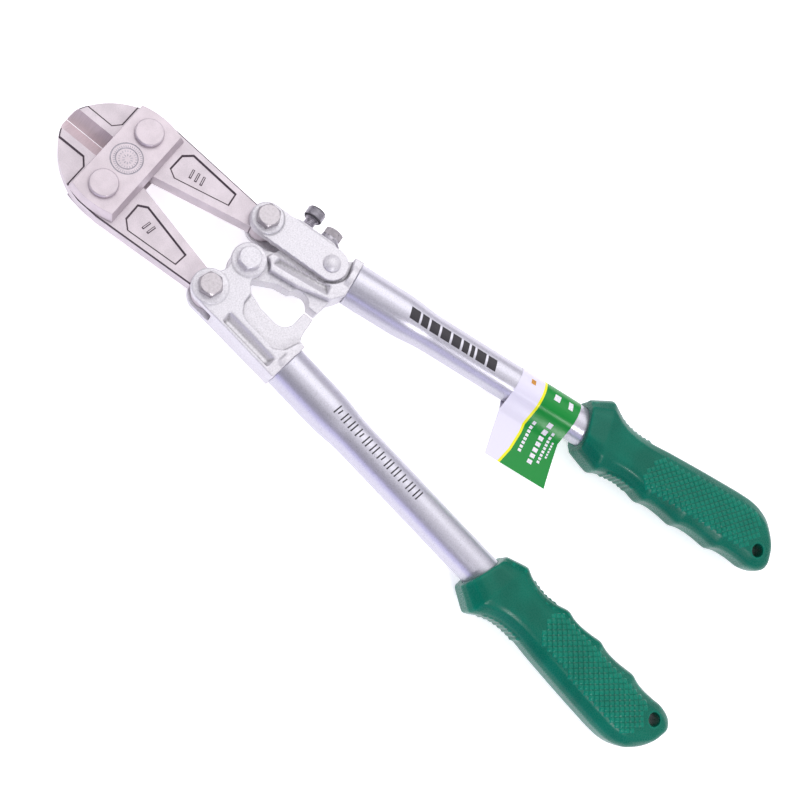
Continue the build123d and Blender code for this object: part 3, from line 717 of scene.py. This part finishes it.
class CutterScrews(bpy.types.Operator):
    """Model the knurled push screw, and the pull bolt with its washers"""
    bl_idname = "cutter.screws"
    bl_label = "Adjusting screws"

    def execute(self, context):
        sizes = context.scene.cutter_sizes
        along = (LINK_REAR - LINK_FRONT).normalized()
        outward = Vector((-along.y, along.x, 0))
        frame_turn = Matrix((along, outward.cross(along), outward)).transposed().to_4x4()

        def link_place(piece, s):
            """Stand a piece drawn about Z on the link, s down its middle line."""
            piece.matrix_world = Matrix.Translation(LINK_FRONT + along * (s * MM)) @ frame_turn
            settle(piece)
            set_faces_outward(piece)

        thread = self.thread(sizes.thread_pitch)
        core = self.core()
        head = self.knurled_head()
        for part, finish_name in ((thread, "oxide"), (core, "oxide"), (head, "rubbed")):
            part.data.materials.append(finishes()[finish_name])
        push = join(head, thread, core)
        push.name = "push_screw_turned"
        link_place(push, PUSH_S)
        hand_over(push, "push_screw", "dark_steel", None, "push_screw")

        bolt = copy_node("pull_bolt", "pull_bolt_turned")
        break_edges(bolt, sizes.bolt_break, 3, 25)
        hand_over(bolt, "pull_bolt", "zinc_steel", "zinc", "pull_bolt")
        washer = copy_node("pull_washer", "pull_washer_pressed")
        break_edges(washer, sizes.bolt_break * 0.8, 2, 25)
        hand_over(washer, "pull_bolt", "zinc_steel", "rubbed", "pull_washer")
        spring = self.split_ring()
        link_place(spring, PULL_S)
        hand_over(spring, "pull_bolt", "zinc_steel", "oxide", "pull_spring_washer")
        return {"FINISHED"}

    def thread(self, pitch):
        """One helical ridge with a triangular section."""
        section_r = pitch * 0.62
        ridge = start("thread", bpy.ops.mesh.primitive_circle_add, vertices=3, radius=section_r,
                      rotation=(math.radians(90), math.radians(90), 0))
        settle(ridge)
        ridge.location = (THREAD_CREST * MM - section_r, 0, THREAD_LOW * MM)
        settle(ridge)
        use(ridge, "SCREW", axis="Z", angle=2 * math.pi, screw_offset=pitch,
            iterations=int((THREAD_HIGH - THREAD_LOW) * MM / pitch), steps=28, render_steps=28,
            use_merge_vertices=True, use_smooth_shade=False)
        only(ridge)
        bpy.ops.object.mode_set(mode="EDIT")
        bpy.ops.mesh.select_all(action="SELECT")
        bpy.ops.mesh.normals_make_consistent(inside=False)
        bpy.ops.object.mode_set(mode="OBJECT")
        return ridge

    def core(self):
        """The plain core under the thread."""
        piece = start("core", bpy.ops.mesh.primitive_cylinder_add, vertices=40, radius=CORE_R * MM,
                      depth=(THREAD_HIGH - CORE_LOW) * MM, location=(0, 0, (CORE_LOW + THREAD_HIGH) / 2 * MM))
        settle(piece)
        break_edges(piece, 0.3 * MM, 2)
        return piece

    def knurled_head(self):
        """A round head with straight ridges round its rim and a dished top."""
        ridge = 0.28
        piece = start("knurled_head", bpy.ops.mesh.primitive_cylinder_add, vertices=HEAD_RIDGES,
                      radius=(HEAD_R - ridge) * MM, depth=HEAD_H * MM,
                      location=(0, 0, (HEAD_LOW + HEAD_H / 2) * MM))
        settle(piece)
        pick(piece, "polygons", lambda face: abs(face.normal.z) < 0.5)
        bpy.ops.mesh.inset(thickness=0.09 * MM, depth=0.26 * MM, use_individual=True)
        pick(piece, "polygons", lambda face: abs(face.normal.z) > 0.9)
        bpy.ops.mesh.inset(thickness=0.55 * MM, depth=0.16 * MM)
        bpy.ops.mesh.inset(thickness=0.5 * MM, depth=0)
        bpy.ops.mesh.inset(thickness=0.4 * MM, depth=-0.35 * MM)
        bpy.ops.object.mode_set(mode="OBJECT")
        soften(piece, 30)
        return piece

    def split_ring(self):
        """A split spring washer of rectangular wire."""
        piece = start("pull_spring_washer_wound", bpy.ops.mesh.primitive_plane_add, size=1,
                      location=(SPRING_R * MM, 0, SPRING_AT * MM), rotation=(math.radians(90), 0, 0))
        piece.scale = (SPRING_WIDE * MM, SPRING_HIGH * MM, 1)
        settle(piece)
        use(piece, "SCREW", axis="Z", angle=math.radians(340), screw_offset=0.25 * MM, iterations=1, steps=48,
            render_steps=48, use_merge_vertices=False)
        only(piece)
        bpy.ops.object.mode_set(mode="EDIT")
        bpy.ops.mesh.select_all(action="SELECT")
        bpy.ops.mesh.remove_doubles(threshold=0.001 * MM)
        bpy.ops.mesh.normals_make_consistent(inside=False)
        bpy.ops.object.mode_set(mode="OBJECT")
        soften(piece, 30)
        return piece


# ---- painted forgings -----------------------------------------------------------------------------
class CutterForgings(bpy.types.Operator):
    """Model the two heads and the adjusting link as painted forgings with soft edges"""
    bl_idname = "cutter.forgings"
    bl_label = "Painted forgings"

    def execute(self, context):
        grain = context.scene.cutter_sizes.casting_grain
        for node, body in (("lower_head", "lower_handle"), ("upper_head", "upper_handle"),
                           ("adjusting_link", "adjusting_link")):
            piece = copy_node(node, node + "_forging")
            use(piece, "REMESH", mode="VOXEL", voxel_size=grain, adaptivity=0, use_smooth_shade=True)
            use(piece, "SMOOTH", factor=0.5, iterations=2)
            self.uneven(piece)
            only(piece)
            bpy.ops.object.shade_smooth()
            hand_over(piece, body, "head_paint", "enamel", node)
        return {"FINISHED"}

    def uneven(self, piece):
        """The slight waviness of a forging under paint."""
        wave = bpy.data.textures.get("forging_wave") or bpy.data.textures.new("forging_wave", "CLOUDS")
        wave.noise_scale = 2.2 * MM
        wave.noise_depth = 2
        use(piece, "DISPLACE", texture=wave, strength=0.12 * MM, mid_level=0.5, texture_coords="LOCAL")


# ---- tubes ----------------------------------------------------------------------------------------
TUBE_FRONT, TUBE_END, TUBE_WALL = 39.0, 247.0, 1.6      # down the handle from the centre bolt
WIDE_TUBE_R = 9.6
MARKS_START = 66.0
BOLD_LENGTHS = (4.6, 3.4, 4.4, 4.4, 4.2, 3.0, 1.8, 4.6, 4.4)
THIN_STEP, THIN_PAIR, THIN_COUNT = 4.3, 1.7, 12


class CutterTubes(bpy.types.Operator):
    """Model the swaged handle tubes and the plain marks printed on them"""
    bl_idname = "cutter.tubes"
    bl_label = "Handle tubes"

    def execute(self, context):
        sizes = context.scene.cutter_sizes
        for side, name, body in ((1, "upper", "upper_handle"), (-1, "lower", "lower_handle")):
            tube = self.tube(name + "_tube_drawn", sizes.tube_sides)
            put_on_handle(tube, side)
            hand_over(tube, body, "tube_paint", "lacquer", name + "_tube")
            marks = bold_marks() if side > 0 else thin_marks()
            ink = print_marks(name + "_tube_print", marks, side, tube, sizes.ink_lift)
            hand_over(ink, body, "tube_paint", "black ink")
        return {"FINISHED"}

    def tube(self, name, sides):
        """A wide front end swaged down to a thinner run, open at both ends."""
        lip = 0.25
        outer = [(TUBE_FRONT, WIDE_TUBE_R - lip), (TUBE_FRONT + lip, WIDE_TUBE_R), (62.0, WIDE_TUBE_R),
                 (65.0, 9.55), (68.0, 9.35), (71.5, 9.0), (75.0, 8.65), (78.0, 8.45), (81.0, THIN_TUBE_R),
                 (TUBE_END, THIN_TUBE_R)]
        wide_bore, thin_bore = WIDE_TUBE_R - TUBE_WALL, THIN_TUBE_R - TUBE_WALL
        inner = [(TUBE_END, thin_bore), (78.0, thin_bore), (65.0, wide_bore), (TUBE_FRONT, wide_bore),
                 outer[0]]
        piece = start(name, bpy.ops.mesh.primitive_circle_add, vertices=sides, radius=outer[0][1] * MM,
                      location=(0, -TUBE_FRONT * MM, 0), rotation=(math.radians(90), 0, 0))
        settle(piece)
        pick(piece, "edges", lambda edge: True)
        rings([(s, 0, 0, r, r) for s, r in outer + inner])
        bpy.ops.mesh.select_all(action="SELECT")
        bpy.ops.mesh.remove_doubles(threshold=0.002 * MM)
        bpy.ops.mesh.normals_make_consistent(inside=False)
        bpy.ops.object.mode_set(mode="OBJECT")
        soften(piece, 40)
        return piece


def bold_marks():
    """A row of plain slanted bars on the upper tube: (s, u, long, wide, slant) in mm."""
    gap = 1.1
    row, s = [], MARKS_START
    for long in BOLD_LENGTHS:
        row.append((s + long / 2, 0.2, long, 5.0, 1.2))
        s += long + gap
    return row


def thin_marks():
    """A scale of thin strokes on the lower tube, two close together at each step."""
    row = []
    for i in range(THIN_COUNT):
        s = MARKS_START + 0.4 + i * THIN_STEP
        row.append((s, -1.2, 0.6, 4.6, 0.4))
        row.append((s + THIN_PAIR, -1.2, 0.6, 4.6 if i % 3 else 2.6, 0.4))
    return row


def print_marks(name, marks, side, surface, lift):
    """Flat marks drawn on the handle's axis and wrapped down on to a surface."""
    blank = start("mark", bpy.ops.mesh.primitive_grid_add, x_subdivisions=10, y_subdivisions=4, size=1)
    made = []
    for s, u, long, wide, slant in marks:
        mark = copy_piece(blank, "mark")
        mark.location = (u * MM, -s * MM, 20 * MM)
        mark.scale = (wide * MM, long * MM, 1)
        settle(mark)
        for vertex in mark.data.vertices:
            vertex.co.y += slant * (vertex.co.x - u * MM) / wide
        made.append(mark)
    bpy.data.objects.remove(blank)
    piece = join(*made)
    piece.name = name
    put_on_handle(piece, side)
    use(piece, "SHRINKWRAP", target=surface, wrap_method="PROJECT", use_project_x=False, use_project_y=False,
        use_project_z=True, use_negative_direction=True, use_positive_direction=False, offset=lift)
    return piece


# ---- grips ----------------------------------------------------------------------------------------
# The grip is drawn on the handle's axis: s down the handle from the centre bolt, u outward, in mm.
def between(table, s):
    """A value read off a table of (s, value) by straight lines."""
    for (s0, v0), (s1, v1) in zip(table, table[1:]):
        if s <= s1:
            return v0 + (v1 - v0) * (s - s0) / (s1 - s0)
    return table[-1][1]


# (s, u) along the outer side
GRIP_OUTER = [(154.4, 11.3), (163.6, 16.4), (164.6, 16.8), (167.0, 15.4), (170.0, 13.0), (174.0, 11.0),
              (179.0, 9.8), (184.0, 9.4), (190.0, 9.7), (197.0, 10.4), (215.0, 11.3), (235.0, 12.0),
              (243.0, 11.9), (248.5, 10.7), (253.0, 8.2), (257.0, 4.6), (260.2, 0.2), (261.8, -4.0)]
# (s, u) of the crests between the finger scallops, and one scallop as (share of its length, depth)
GRIP_CRESTS = [(196.2, -15.6), (215.2, -16.4), (235.2, -16.7), (254.0, -16.4)]
SCALLOP = [(0.0, 0.0), (0.07, 0.5), (0.2, 1.25), (0.42, 1.5), (0.68, 1.05), (0.88, 0.4)]
# (s, half height)
GRIP_HALF = [(154.0, 10.9), (164.0, 12.4), (167.0, 11.8), (172.0, 10.9), (180.0, 10.2), (190.0, 10.0),
             (215.0, 10.4), (240.0, 10.4), (250.0, 9.9), (256.0, 8.8), (260.0, 7.0), (262.5, 4.6)]
# ((s, u) on the inner side, s on the outer side) of the stations before and after the scallops
GRIP_FRONT = [((160.2, -11.6), 154.4), ((169.6, -15.2), 163.6), ((170.8, -15.4), 164.7),
              ((173.0, -14.2), 167.2), ((176.0, -13.2), 170.8), ((180.0, -12.5), 176.0),
              ((184.5, -12.3), 181.5), ((189.5, -13.1), 187.5), ((193.3, -14.6), 192.5)]
GRIP_REAR = [((258.4, -15.7), 256.2), ((261.6, -13.8), 259.2), ((263.4, -11.2), 261.4)]
HANG_HOLE = (253.2, -8.3, 3.0)          # s, u and radius
BLANK_HALF = 11                         # half side of the square that the grip starts as
SOCKET_START, SOCKET_LENGTH = 140, 108
COLLAR_END = 168.0
RIB_R, RIB_LONG, RIB_SUNK = 0.95, 10.5, 0.3
PANEL_MIDDLE, PANEL_CELLS = (219.5, -2.4), 30
DIAMOND_SLOPE = 0.36


def grip_stations():
    """Each station of the grip as (s, u, turn, half width, half height), from the mouth to the end."""
    pairs = list(GRIP_FRONT)
    for (s0, u0), (s1, u1) in zip(GRIP_CRESTS, GRIP_CRESTS[1:]):
        for share, depth in SCALLOP:
            s = s0 + (s1 - s0) * share
            pairs.append(((s, u0 + (u1 - u0) * share + depth), s - 0.4))
    pairs.append((GRIP_CRESTS[-1], 252.8))
    pairs += GRIP_REAR
    stations = []
    for (s_in, u_in), s_out in pairs:
        u_out = between(GRIP_OUTER, s_out)
        s_mid, u_mid = (s_in + s_out) / 2, (u_in + u_out) / 2
        turn = math.degrees(math.atan2(s_in - s_out, u_out - u_in))
        half_wide = math.hypot(s_in - s_out, u_out - u_in) / 2
        stations.append((s_mid, u_mid, turn, half_wide, between(GRIP_HALF, s_mid)))
    return stations


class CutterGrips(bpy.types.Operator):
    """Model the moulded grips: faceted collar, finger scallops, ribs, hang hole and diamond panels"""
    bl_idname = "cutter.grips"
    bl_label = "Grips"

    def execute(self, context):
        sizes = context.scene.cutter_sizes
        body = self.body(sizes)
        panels = [self.panel(body, sizes, up) for up in (1, -1)]
        grip = join(body, *panels)
        grip.name = "upper_grip_moulded"
        soften(grip, 60)
        other = copy_piece(grip, "lower_grip_moulded")
        for piece, side, name in ((grip, 1, "upper"), (other, -1, "lower")):
            put_on_handle(piece, side)
            hand_over(piece, name + "_handle", "grip_plastic", "grip", name + "_grip")
        return {"FINISHED"}

    def body(self, sizes):
        """The solid grip, drawn on the handle's own axis."""
        stations = grip_stations()
        s, u, turn, wide, high = stations[0]
        piece = start("grip", bpy.ops.mesh.primitive_plane_add, size=2 * BLANK_HALF * MM,
                      rotation=(math.radians(90), 0, 0))
        settle(piece)
        pick(piece, "polygons", lambda face: True)
        bpy.ops.mesh.bevel(offset=5.0 * MM, affect="VERTICES", offset_type="OFFSET")
        bpy.ops.mesh.select_all(action="SELECT")
        bpy.ops.mesh.bevel(offset=1.5 * MM, affect="VERTICES", offset_type="OFFSET")
        bpy.ops.mesh.select_all(action="SELECT")
        bpy.ops.mesh.delete(type="ONLY_FACE")
        bpy.ops.mesh.select_all(action="SELECT")
        bpy.ops.transform.resize(value=(wide / BLANK_HALF, 1, high / BLANK_HALF), center_override=(0, 0, 0))
        middle = Vector((u, -s, 0)) * MM
        bpy.ops.transform.translate(value=middle)
        turn_loop(middle, turn)
        rings(stations)
        bpy.ops.mesh.edge_face_add()
        bpy.ops.object.mode_set(mode="OBJECT")
        pick(piece, "edges", lambda edge: self.on_mouth(piece, edge, s, u, turn))
        bpy.ops.mesh.edge_face_add()
        bpy.ops.mesh.select_all(action="SELECT")
        bpy.ops.mesh.normals_make_consistent(inside=False)
        self.crease(piece)
        use(piece, "SUBSURF", levels=3, render_levels=3)
        join(piece, *self.ribs(sizes))
        use(piece, "REMESH", mode="VOXEL", voxel_size=sizes.grip_grain, adaptivity=0, use_smooth_shade=True)
        hole_s, hole_u, hole_r = HANG_HOLE
        bore = start("bore", bpy.ops.mesh.primitive_cylinder_add, vertices=64,
                     radius=(THIN_TUBE_R + 0.05) * MM,
                     depth=SOCKET_LENGTH * MM, location=(0, -(SOCKET_START + SOCKET_LENGTH / 2) * MM, 0),
                     rotation=(math.radians(90), 0, 0))
        settle(bore)
        hole = start("hole", bpy.ops.mesh.primitive_cylinder_add, vertices=48, radius=hole_r * MM,
                     depth=40 * MM, location=(hole_u * MM, -hole_s * MM, 0))
        settle(hole)
        for cutter in (bore, hole):
            use(piece, "BOOLEAN", operation="DIFFERENCE", object=cutter, solver="EXACT")
            bpy.data.objects.remove(cutter)
        use(piece, "REMESH", mode="VOXEL", voxel_size=sizes.grip_grain, adaptivity=0, use_smooth_shade=True)
        use(piece, "SMOOTH", factor=0.5, iterations=3)
        return piece

    def crease(self, piece):
        """Keep the long corners of the grip crisp, and those of its collar sharp."""
        def along(edge, low, high):
            a, b = (piece.data.vertices[i].co / MM for i in edge.vertices)
            return abs((a - b).y) > 0.7 * (a - b).length and low < -(a + b).y / 2 < high
        for low, high, amount in ((150.0, COLLAR_END, 0.75), (COLLAR_END, 256.0, 0.4)):
            pick(piece, "edges", lambda edge: along(edge, low, high))
            bpy.ops.transform.edge_crease(value=amount)

        def round_collar(edge):
            a, b = (piece.data.vertices[i].co / MM for i in edge.vertices)
            return abs((a - b).y) < 0.5 * (a - b).length and -max(a.y, b.y) < COLLAR_END - 2.0
        pick(piece, "edges", round_collar)
        bpy.ops.transform.edge_crease(value=0.6)
        bpy.ops.object.mode_set(mode="OBJECT")

    def on_mouth(self, piece, edge, s, u, turn):
        """Whether an edge lies on the mouth's loop."""
        along = Vector((-math.sin(math.radians(turn)), math.cos(math.radians(turn)), 0))
        middle = Vector((u, -s, 0)) * MM
        points = [piece.data.vertices[i].co for i in edge.vertices]
        return all(abs((point - middle).dot(along)) < 0.05 * MM for point in points)

    def rib_places(self, sizes, side):
        """Where the ribs stand on the neck, in mm down the handle."""
        first = 170.5 if side > 0 else 177.0
        count = 8 if side > 0 else 6
        return [first + i * sizes.rib_pitch / MM for i in range(count)]

    def ribs(self, sizes):
        """Half-sunk rounded ribs across both side walls of the neck."""
        rib = start("rib", bpy.ops.mesh.primitive_cylinder_add, vertices=16, radius=RIB_R * MM,
                    depth=RIB_LONG * MM)
        use(rib, "BEVEL", width=0.6 * MM, segments=2, limit_method="ANGLE", angle_limit=math.radians(50))
        inner_wall = [place for place, _ in GRIP_FRONT]
        made = []
        for side in (1, -1):
            for s in self.rib_places(sizes, side):
                u = between(GRIP_OUTER, s) - RIB_SUNK if side > 0 else between(inner_wall, s) + RIB_SUNK
                copy = copy_piece(rib, "rib")
                copy.location = (u * MM, -s * MM, 0)
                settle(copy)
                made.append(copy)
        bpy.data.objects.remove(rib)
        return made

    def panel(self, body, sizes, up):
        """A panel of small raised diamonds laid on one face."""
        s, u = PANEL_MIDDLE
        grid = start("diamonds", bpy.ops.mesh.primitive_grid_add, x_subdivisions=PANEL_CELLS,
                     y_subdivisions=PANEL_CELLS, size=sizes.knurl_pitch * PANEL_CELLS,
                     location=(u * MM, -s * MM, up * 20 * MM), rotation=(0, 0, math.radians(45)))
        settle(grid)
        pick(grid, "polygons", lambda face: not self.in_panel(face.center))
        bpy.ops.mesh.delete(type="FACE")
        bpy.ops.object.mode_set(mode="OBJECT")
        use(grid, "SHRINKWRAP", target=body, wrap_method="PROJECT", use_project_x=False, use_project_y=False,
            use_project_z=True, use_negative_direction=up > 0, use_positive_direction=up < 0,
            offset=0.02 * MM)
        if up < 0:
            pick(grid, "polygons", lambda face: True)
            bpy.ops.mesh.flip_normals()
        pick(grid, "polygons", lambda face: True)
        bpy.ops.mesh.inset(thickness=DIAMOND_SLOPE * MM, depth=sizes.knurl_height, use_individual=True)
        bpy.ops.object.mode_set(mode="OBJECT")
        return grid

    def in_panel(self, point):
        """Whether a place on the face belongs to the diamond panel."""
        s, u = -point.y / MM, point.x / MM
        outer = between(GRIP_OUTER, s) - 5.6
        inner = -10.6 if s < 199 else -11.4
        hole_s, hole_u, hole_r = HANG_HOLE
        clear_of_hole = math.hypot(s - hole_s, u - hole_u) > hole_r + 2.6
        front = 190.0 + 0.25 * abs(u + 6)
        rear = 250.5 - 0.15 * max(0, u + 6)
        return front < s < rear and inner < u < outer and clear_of_hole


# ---- label ----------------------------------------------------------------------------------------
# The label is drawn on the upper handle's axis, like the grip.
LABEL_FRONT, LABEL_REAR = 121.4, 151.8
FLAG_TIP, FLAG_JOINT, FLAG_SKEW = -33.2, -12.6, 3.0
FLAG_STEPS, WRAP_STEPS, LABEL_ROWS = 14, 40, 34
LABEL_LINE = [(-33.2, 127.8), (-25.7, 131.0), (-16.5, 133.2), (-7.4, 133.7), (9.0, 132.8)]  # (u, s)
# lines of small blocks on the flag: s, first u, last u, width, pitch
BLOCK_LINES = ((137.6, -10.5, -24.5, 1.5, 1.9), (143.9, -8.5, -28.0, 2.3, 2.9),
               (147.4, -10.5, -25.5, 1.3, 1.7), (149.7, -13.5, -21.5, 0.9, 1.4))
# larger marks on the tube: s, u, long, wide, slant
LARGE_BLOCKS = [(140.3, 2.6, 3.0, 3.0, 0.0), (147.2, 2.6, 2.2, 3.4, 0.6)]
EMBLEM = [(127.6, 3.2, 2.2, 2.2, 0.3)]


class CutterLabel(bpy.types.Operator):
    """Model the paper label wrapped round the upper tube, with its free ends stuck together"""
    bl_idname = "cutter.label"
    bl_label = "Label"

    def execute(self, context):
        lift = context.scene.cutter_sizes.ink_lift
        sheet = self.sheet()
        put_on_handle(sheet, 1)
        hand_over(sheet, "upper_handle", "label_paper", "label", "label_flag")
        rows = []
        for s, u_first, u_last, long, pitch in BLOCK_LINES:
            u = u_first
            while u > u_last:
                rows.append((s, u, long, pitch * 0.66, 0.0))
                u -= pitch
        rows += LARGE_BLOCKS
        white = print_marks("label_print", rows, 1, sheet, lift)
        hand_over(white, "upper_handle", "label_paper", "white ink")
        emblem = print_marks("label_emblem", EMBLEM, 1, sheet, lift)
        hand_over(emblem, "upper_handle", "label_paper", "ochre ink")
        return {"FINISHED"}

    def sheet(self):
        """A strip extruded along its path: up one side of the flag, round the tube and back."""
        r = THIN_TUBE_R + 0.14
        lean = math.degrees(math.acos(r / -FLAG_JOINT))
        shares = [i / FLAG_STEPS for i in range(FLAG_STEPS + 1)]
        path = [self.flag_point(share, 0.1) for share in shares]
        for i in range(WRAP_STEPS + 1):
            turn = math.radians(180 - lean - (360 - 2 * lean) * i / WRAP_STEPS)
            path.append((r * math.cos(turn), 0.0, r * math.sin(turn)))
        path += [self.flag_point(share, -0.1) for share in reversed(shares)]
        u0, shift0, z0 = path[0]
        first = 0.2
        piece = start("label_sheet", bpy.ops.mesh.primitive_grid_add, x_subdivisions=1,
                      y_subdivisions=LABEL_ROWS, size=1)
        piece.scale = (first * MM, (LABEL_REAR - LABEL_FRONT) * MM, 1)
        piece.location = ((u0 - first / 2) * MM, -((LABEL_FRONT + LABEL_REAR) / 2 + shift0) * MM, z0 * MM)
        settle(piece)
        right = max(vertex.co.x for vertex in piece.data.vertices) - 0.01 * MM
        pick(piece, "edges", lambda edge: all(piece.data.vertices[i].co.x > right for i in edge.vertices))
        for u, shift, z in path[1:]:
            bpy.ops.mesh.extrude_edges_move(
                TRANSFORM_OT_translate={"value": Vector((u - u0, shift0 - shift, z - z0)) * MM})
            u0, shift0, z0 = u, shift, z
        bpy.ops.object.mode_set(mode="OBJECT")
        self.lay_out(piece)
        use(piece, "SOLIDIFY", thickness=0.1 * MM, offset=0)
        soften(piece, 50)
        return piece

    def flag_point(self, share, z):
        """A point of the path on the flag, from its tip to its joint: u, shift down the tube, height."""
        u = FLAG_TIP + (FLAG_JOINT - FLAG_TIP) * share
        curl = 1.1 * (max(0.0, -u - 15) / 18) ** 2
        return u, FLAG_SKEW * (1 - share), z + curl

    def lay_out(self, piece):
        """Flat coordinates for the print: the dividing line lies at one half across."""
        layer = piece.data.uv_layers.new(name="Strip")
        for loop in piece.data.loops:
            co = piece.data.vertices[loop.vertex_index].co / MM
            shift = FLAG_SKEW * max(0.0, (FLAG_JOINT - co.x) / (FLAG_JOINT - FLAG_TIP))
            s = -co.y - shift
            layer.data[loop.index].uv = (0.5 + (s - between(LABEL_LINE, co.x)) / 40, co.x / 100)


# ---- stage ----------------------------------------------------------------------------------------
CAMERA_PLACE = Vector((-156.57, 59.89, 503.16)) * MM
CAMERA_TARGET = Vector((-3.17, -0.22, 13.3)) * MM
SHADE_WAY = Vector((-0.80, -0.10, 0.58)).normalized()       # the way to the darker side of the room
FLOOR_SIZE = 12
# name, place, width and height, in metres
LIGHTS = {
    "key_light": ((0.75, 0.15, 1.1), (1.1, 1.1)),
    "glint_light": ((-0.52, -0.47, 0.64), (0.16, 0.16)),
    "edge_light": ((-0.75, -0.1, 0.16), (1.0, 0.3)),
}


class CutterStageBuild(bpy.types.Operator):
    """Set the paper floor, the soft lights and the camera"""
    bl_idname = "cutter.stage"
    bl_label = "Stage"

    def execute(self, context):
        look = context.scene.cutter_stage
        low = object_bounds()[0]
        floor = start("floor", bpy.ops.mesh.primitive_plane_add, size=FLOOR_SIZE, location=(0, 0, low.z))
        settle(floor)
        material, tree, main, place = finish("Matt white paper", look.floor, 0.0, 0.9)
        fibre = add(tree, "ShaderNodeTexNoise", {"Vector": place, "Scale": per_mm(60.0), "Detail": 2.0})
        tint = add(tree, "ShaderNodeMix", {0: fibre.outputs["Fac"], 6: tone(look.floor, 0.99),
                                           7: tone(look.floor, 1.0)}, data_type="RGBA")
        tree.links.new(tint.outputs[2], main.inputs["Base Color"])
        main.inputs["Emission Color"].default_value = rgba(look.floor)
        main.inputs["Emission Strength"].default_value = look.floor_glow
        floor.data.materials.append(material)
        floor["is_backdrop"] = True
        self.room(look)
        self.soft_light("key_light", look.key_power, (1, 1, 1))
        self.soft_light("glint_light", look.glint_power, (1, 1, 1))
        self.soft_light("edge_light", look.edge_power, look.edge_tint)
        self.camera(look)
        context.scene.view_settings.view_transform = "Standard"
        return {"FINISHED"}

    def room(self, look):
        """A pale room that is darker on one side, so that round metal shows a soft band."""
        world = bpy.data.worlds.new("Studio")
        bpy.context.scene.world = world
        world.use_nodes = True
        tree = world.node_tree
        way = add(tree, "ShaderNodeTexCoord").outputs["Generated"]
        toward = add(tree, "ShaderNodeVectorMath", {0: way, 1: SHADE_WAY}, operation="DOT_PRODUCT")
        share = add(tree, "ShaderNodeMapRange", {"Value": toward.outputs["Value"], "From Min": 0.62,
                                                 "From Max": 0.95}, interpolation_type="SMOOTHSTEP")
        height = add(tree, "ShaderNodeSeparateXYZ", {0: way})
        up = add(tree, "ShaderNodeMapRange", {"Value": height.outputs[2], "From Min": 0.05, "From Max": 0.75},
                 interpolation_type="SMOOTHSTEP")
        walls = add(tree, "ShaderNodeMix", {0: up.outputs[0], 6: rgba(look.walls), 7: rgba(look.sky)},
                    data_type="RGBA")
        tint = add(tree, "ShaderNodeMix", {0: share.outputs[0], 6: walls.outputs[2], 7: rgba(look.shade)},
                   data_type="RGBA")
        background = tree.nodes["Background"]
        tree.links.new(tint.outputs[2], background.inputs["Color"])
        background.inputs["Strength"].default_value = look.sky_strength

    def soft_light(self, name, power, tint):
        """A rectangular soft light aimed at the tool."""
        place, size = LIGHTS[name]
        data = bpy.data.lights.new(name, "AREA")
        data.shape = "RECTANGLE"
        data.size, data.size_y = size
        data.energy = power
        data.color = tint
        lamp = bpy.data.objects.new(name, data)
        lamp.location = place
        lamp.rotation_euler = (Vector((0, 0, 0.01)) - Vector(place)).to_track_quat("-Z", "Y").to_euler()
        bpy.context.scene.collection.objects.link(lamp)

    def camera(self, look):
        """The camera above the tool, turned so that the jaws point to the upper left."""
        data = bpy.data.cameras.new("camera")
        data.lens = look.lens
        data.clip_start, data.clip_end = 0.01, 20
        camera = bpy.data.objects.new("camera", data)
        aim = (CAMERA_TARGET - CAMERA_PLACE).to_track_quat("-Z", "Y").to_matrix()
        turn = aim @ Matrix.Rotation(look.roll, 3, "Z")
        camera.matrix_world = Matrix.Translation(CAMERA_PLACE) @ turn.to_4x4()
        bpy.context.scene.collection.objects.link(camera)
        bpy.context.scene.camera = camera


# ---- panel and registration -----------------------------------------------------------------------
STEPS = (CutterForgings, CutterJaws, CutterStraps, CutterBolts, CutterScrews, CutterTubes, CutterGrips,
         CutterLabel, CutterStageBuild)


class CutterPanel(bpy.types.Panel):
    """The steps and settings of the bolt cutters"""
    bl_idname = "VIEW3D_PT_bolt_cutters"
    bl_label = "Bolt cutters"
    bl_space_type = "VIEW_3D"
    bl_region_type = "UI"
    bl_category = "Bolt cutters"

    def draw(self, context):
        for step in STEPS:
            self.layout.operator(step.bl_idname)
        for group in (context.scene.cutter_sizes, context.scene.cutter_finishes, context.scene.cutter_stage):
            box = self.layout.box()
            for key in group.__annotations__:
                box.prop(group, key)


CLASSES = (CutterSizes, CutterFinishes, CutterStage, *STEPS, CutterPanel)


def register():
    for item in CLASSES:
        bpy.utils.register_class(item)
    bpy.types.Scene.cutter_sizes = PointerProperty(type=CutterSizes)
    bpy.types.Scene.cutter_finishes = PointerProperty(type=CutterFinishes)
    bpy.types.Scene.cutter_stage = PointerProperty(type=CutterStage)


def unregister():
    del bpy.types.Scene.cutter_stage
    del bpy.types.Scene.cutter_finishes
    del bpy.types.Scene.cutter_sizes
    for item in reversed(CLASSES):
        bpy.utils.unregister_class(item)


def main():
    register()
    for step in STEPS:
        group, name = step.bl_idname.split(".")
        getattr(getattr(bpy.ops, group), name)()
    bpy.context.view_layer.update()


if __name__ == "__main__":
    main()
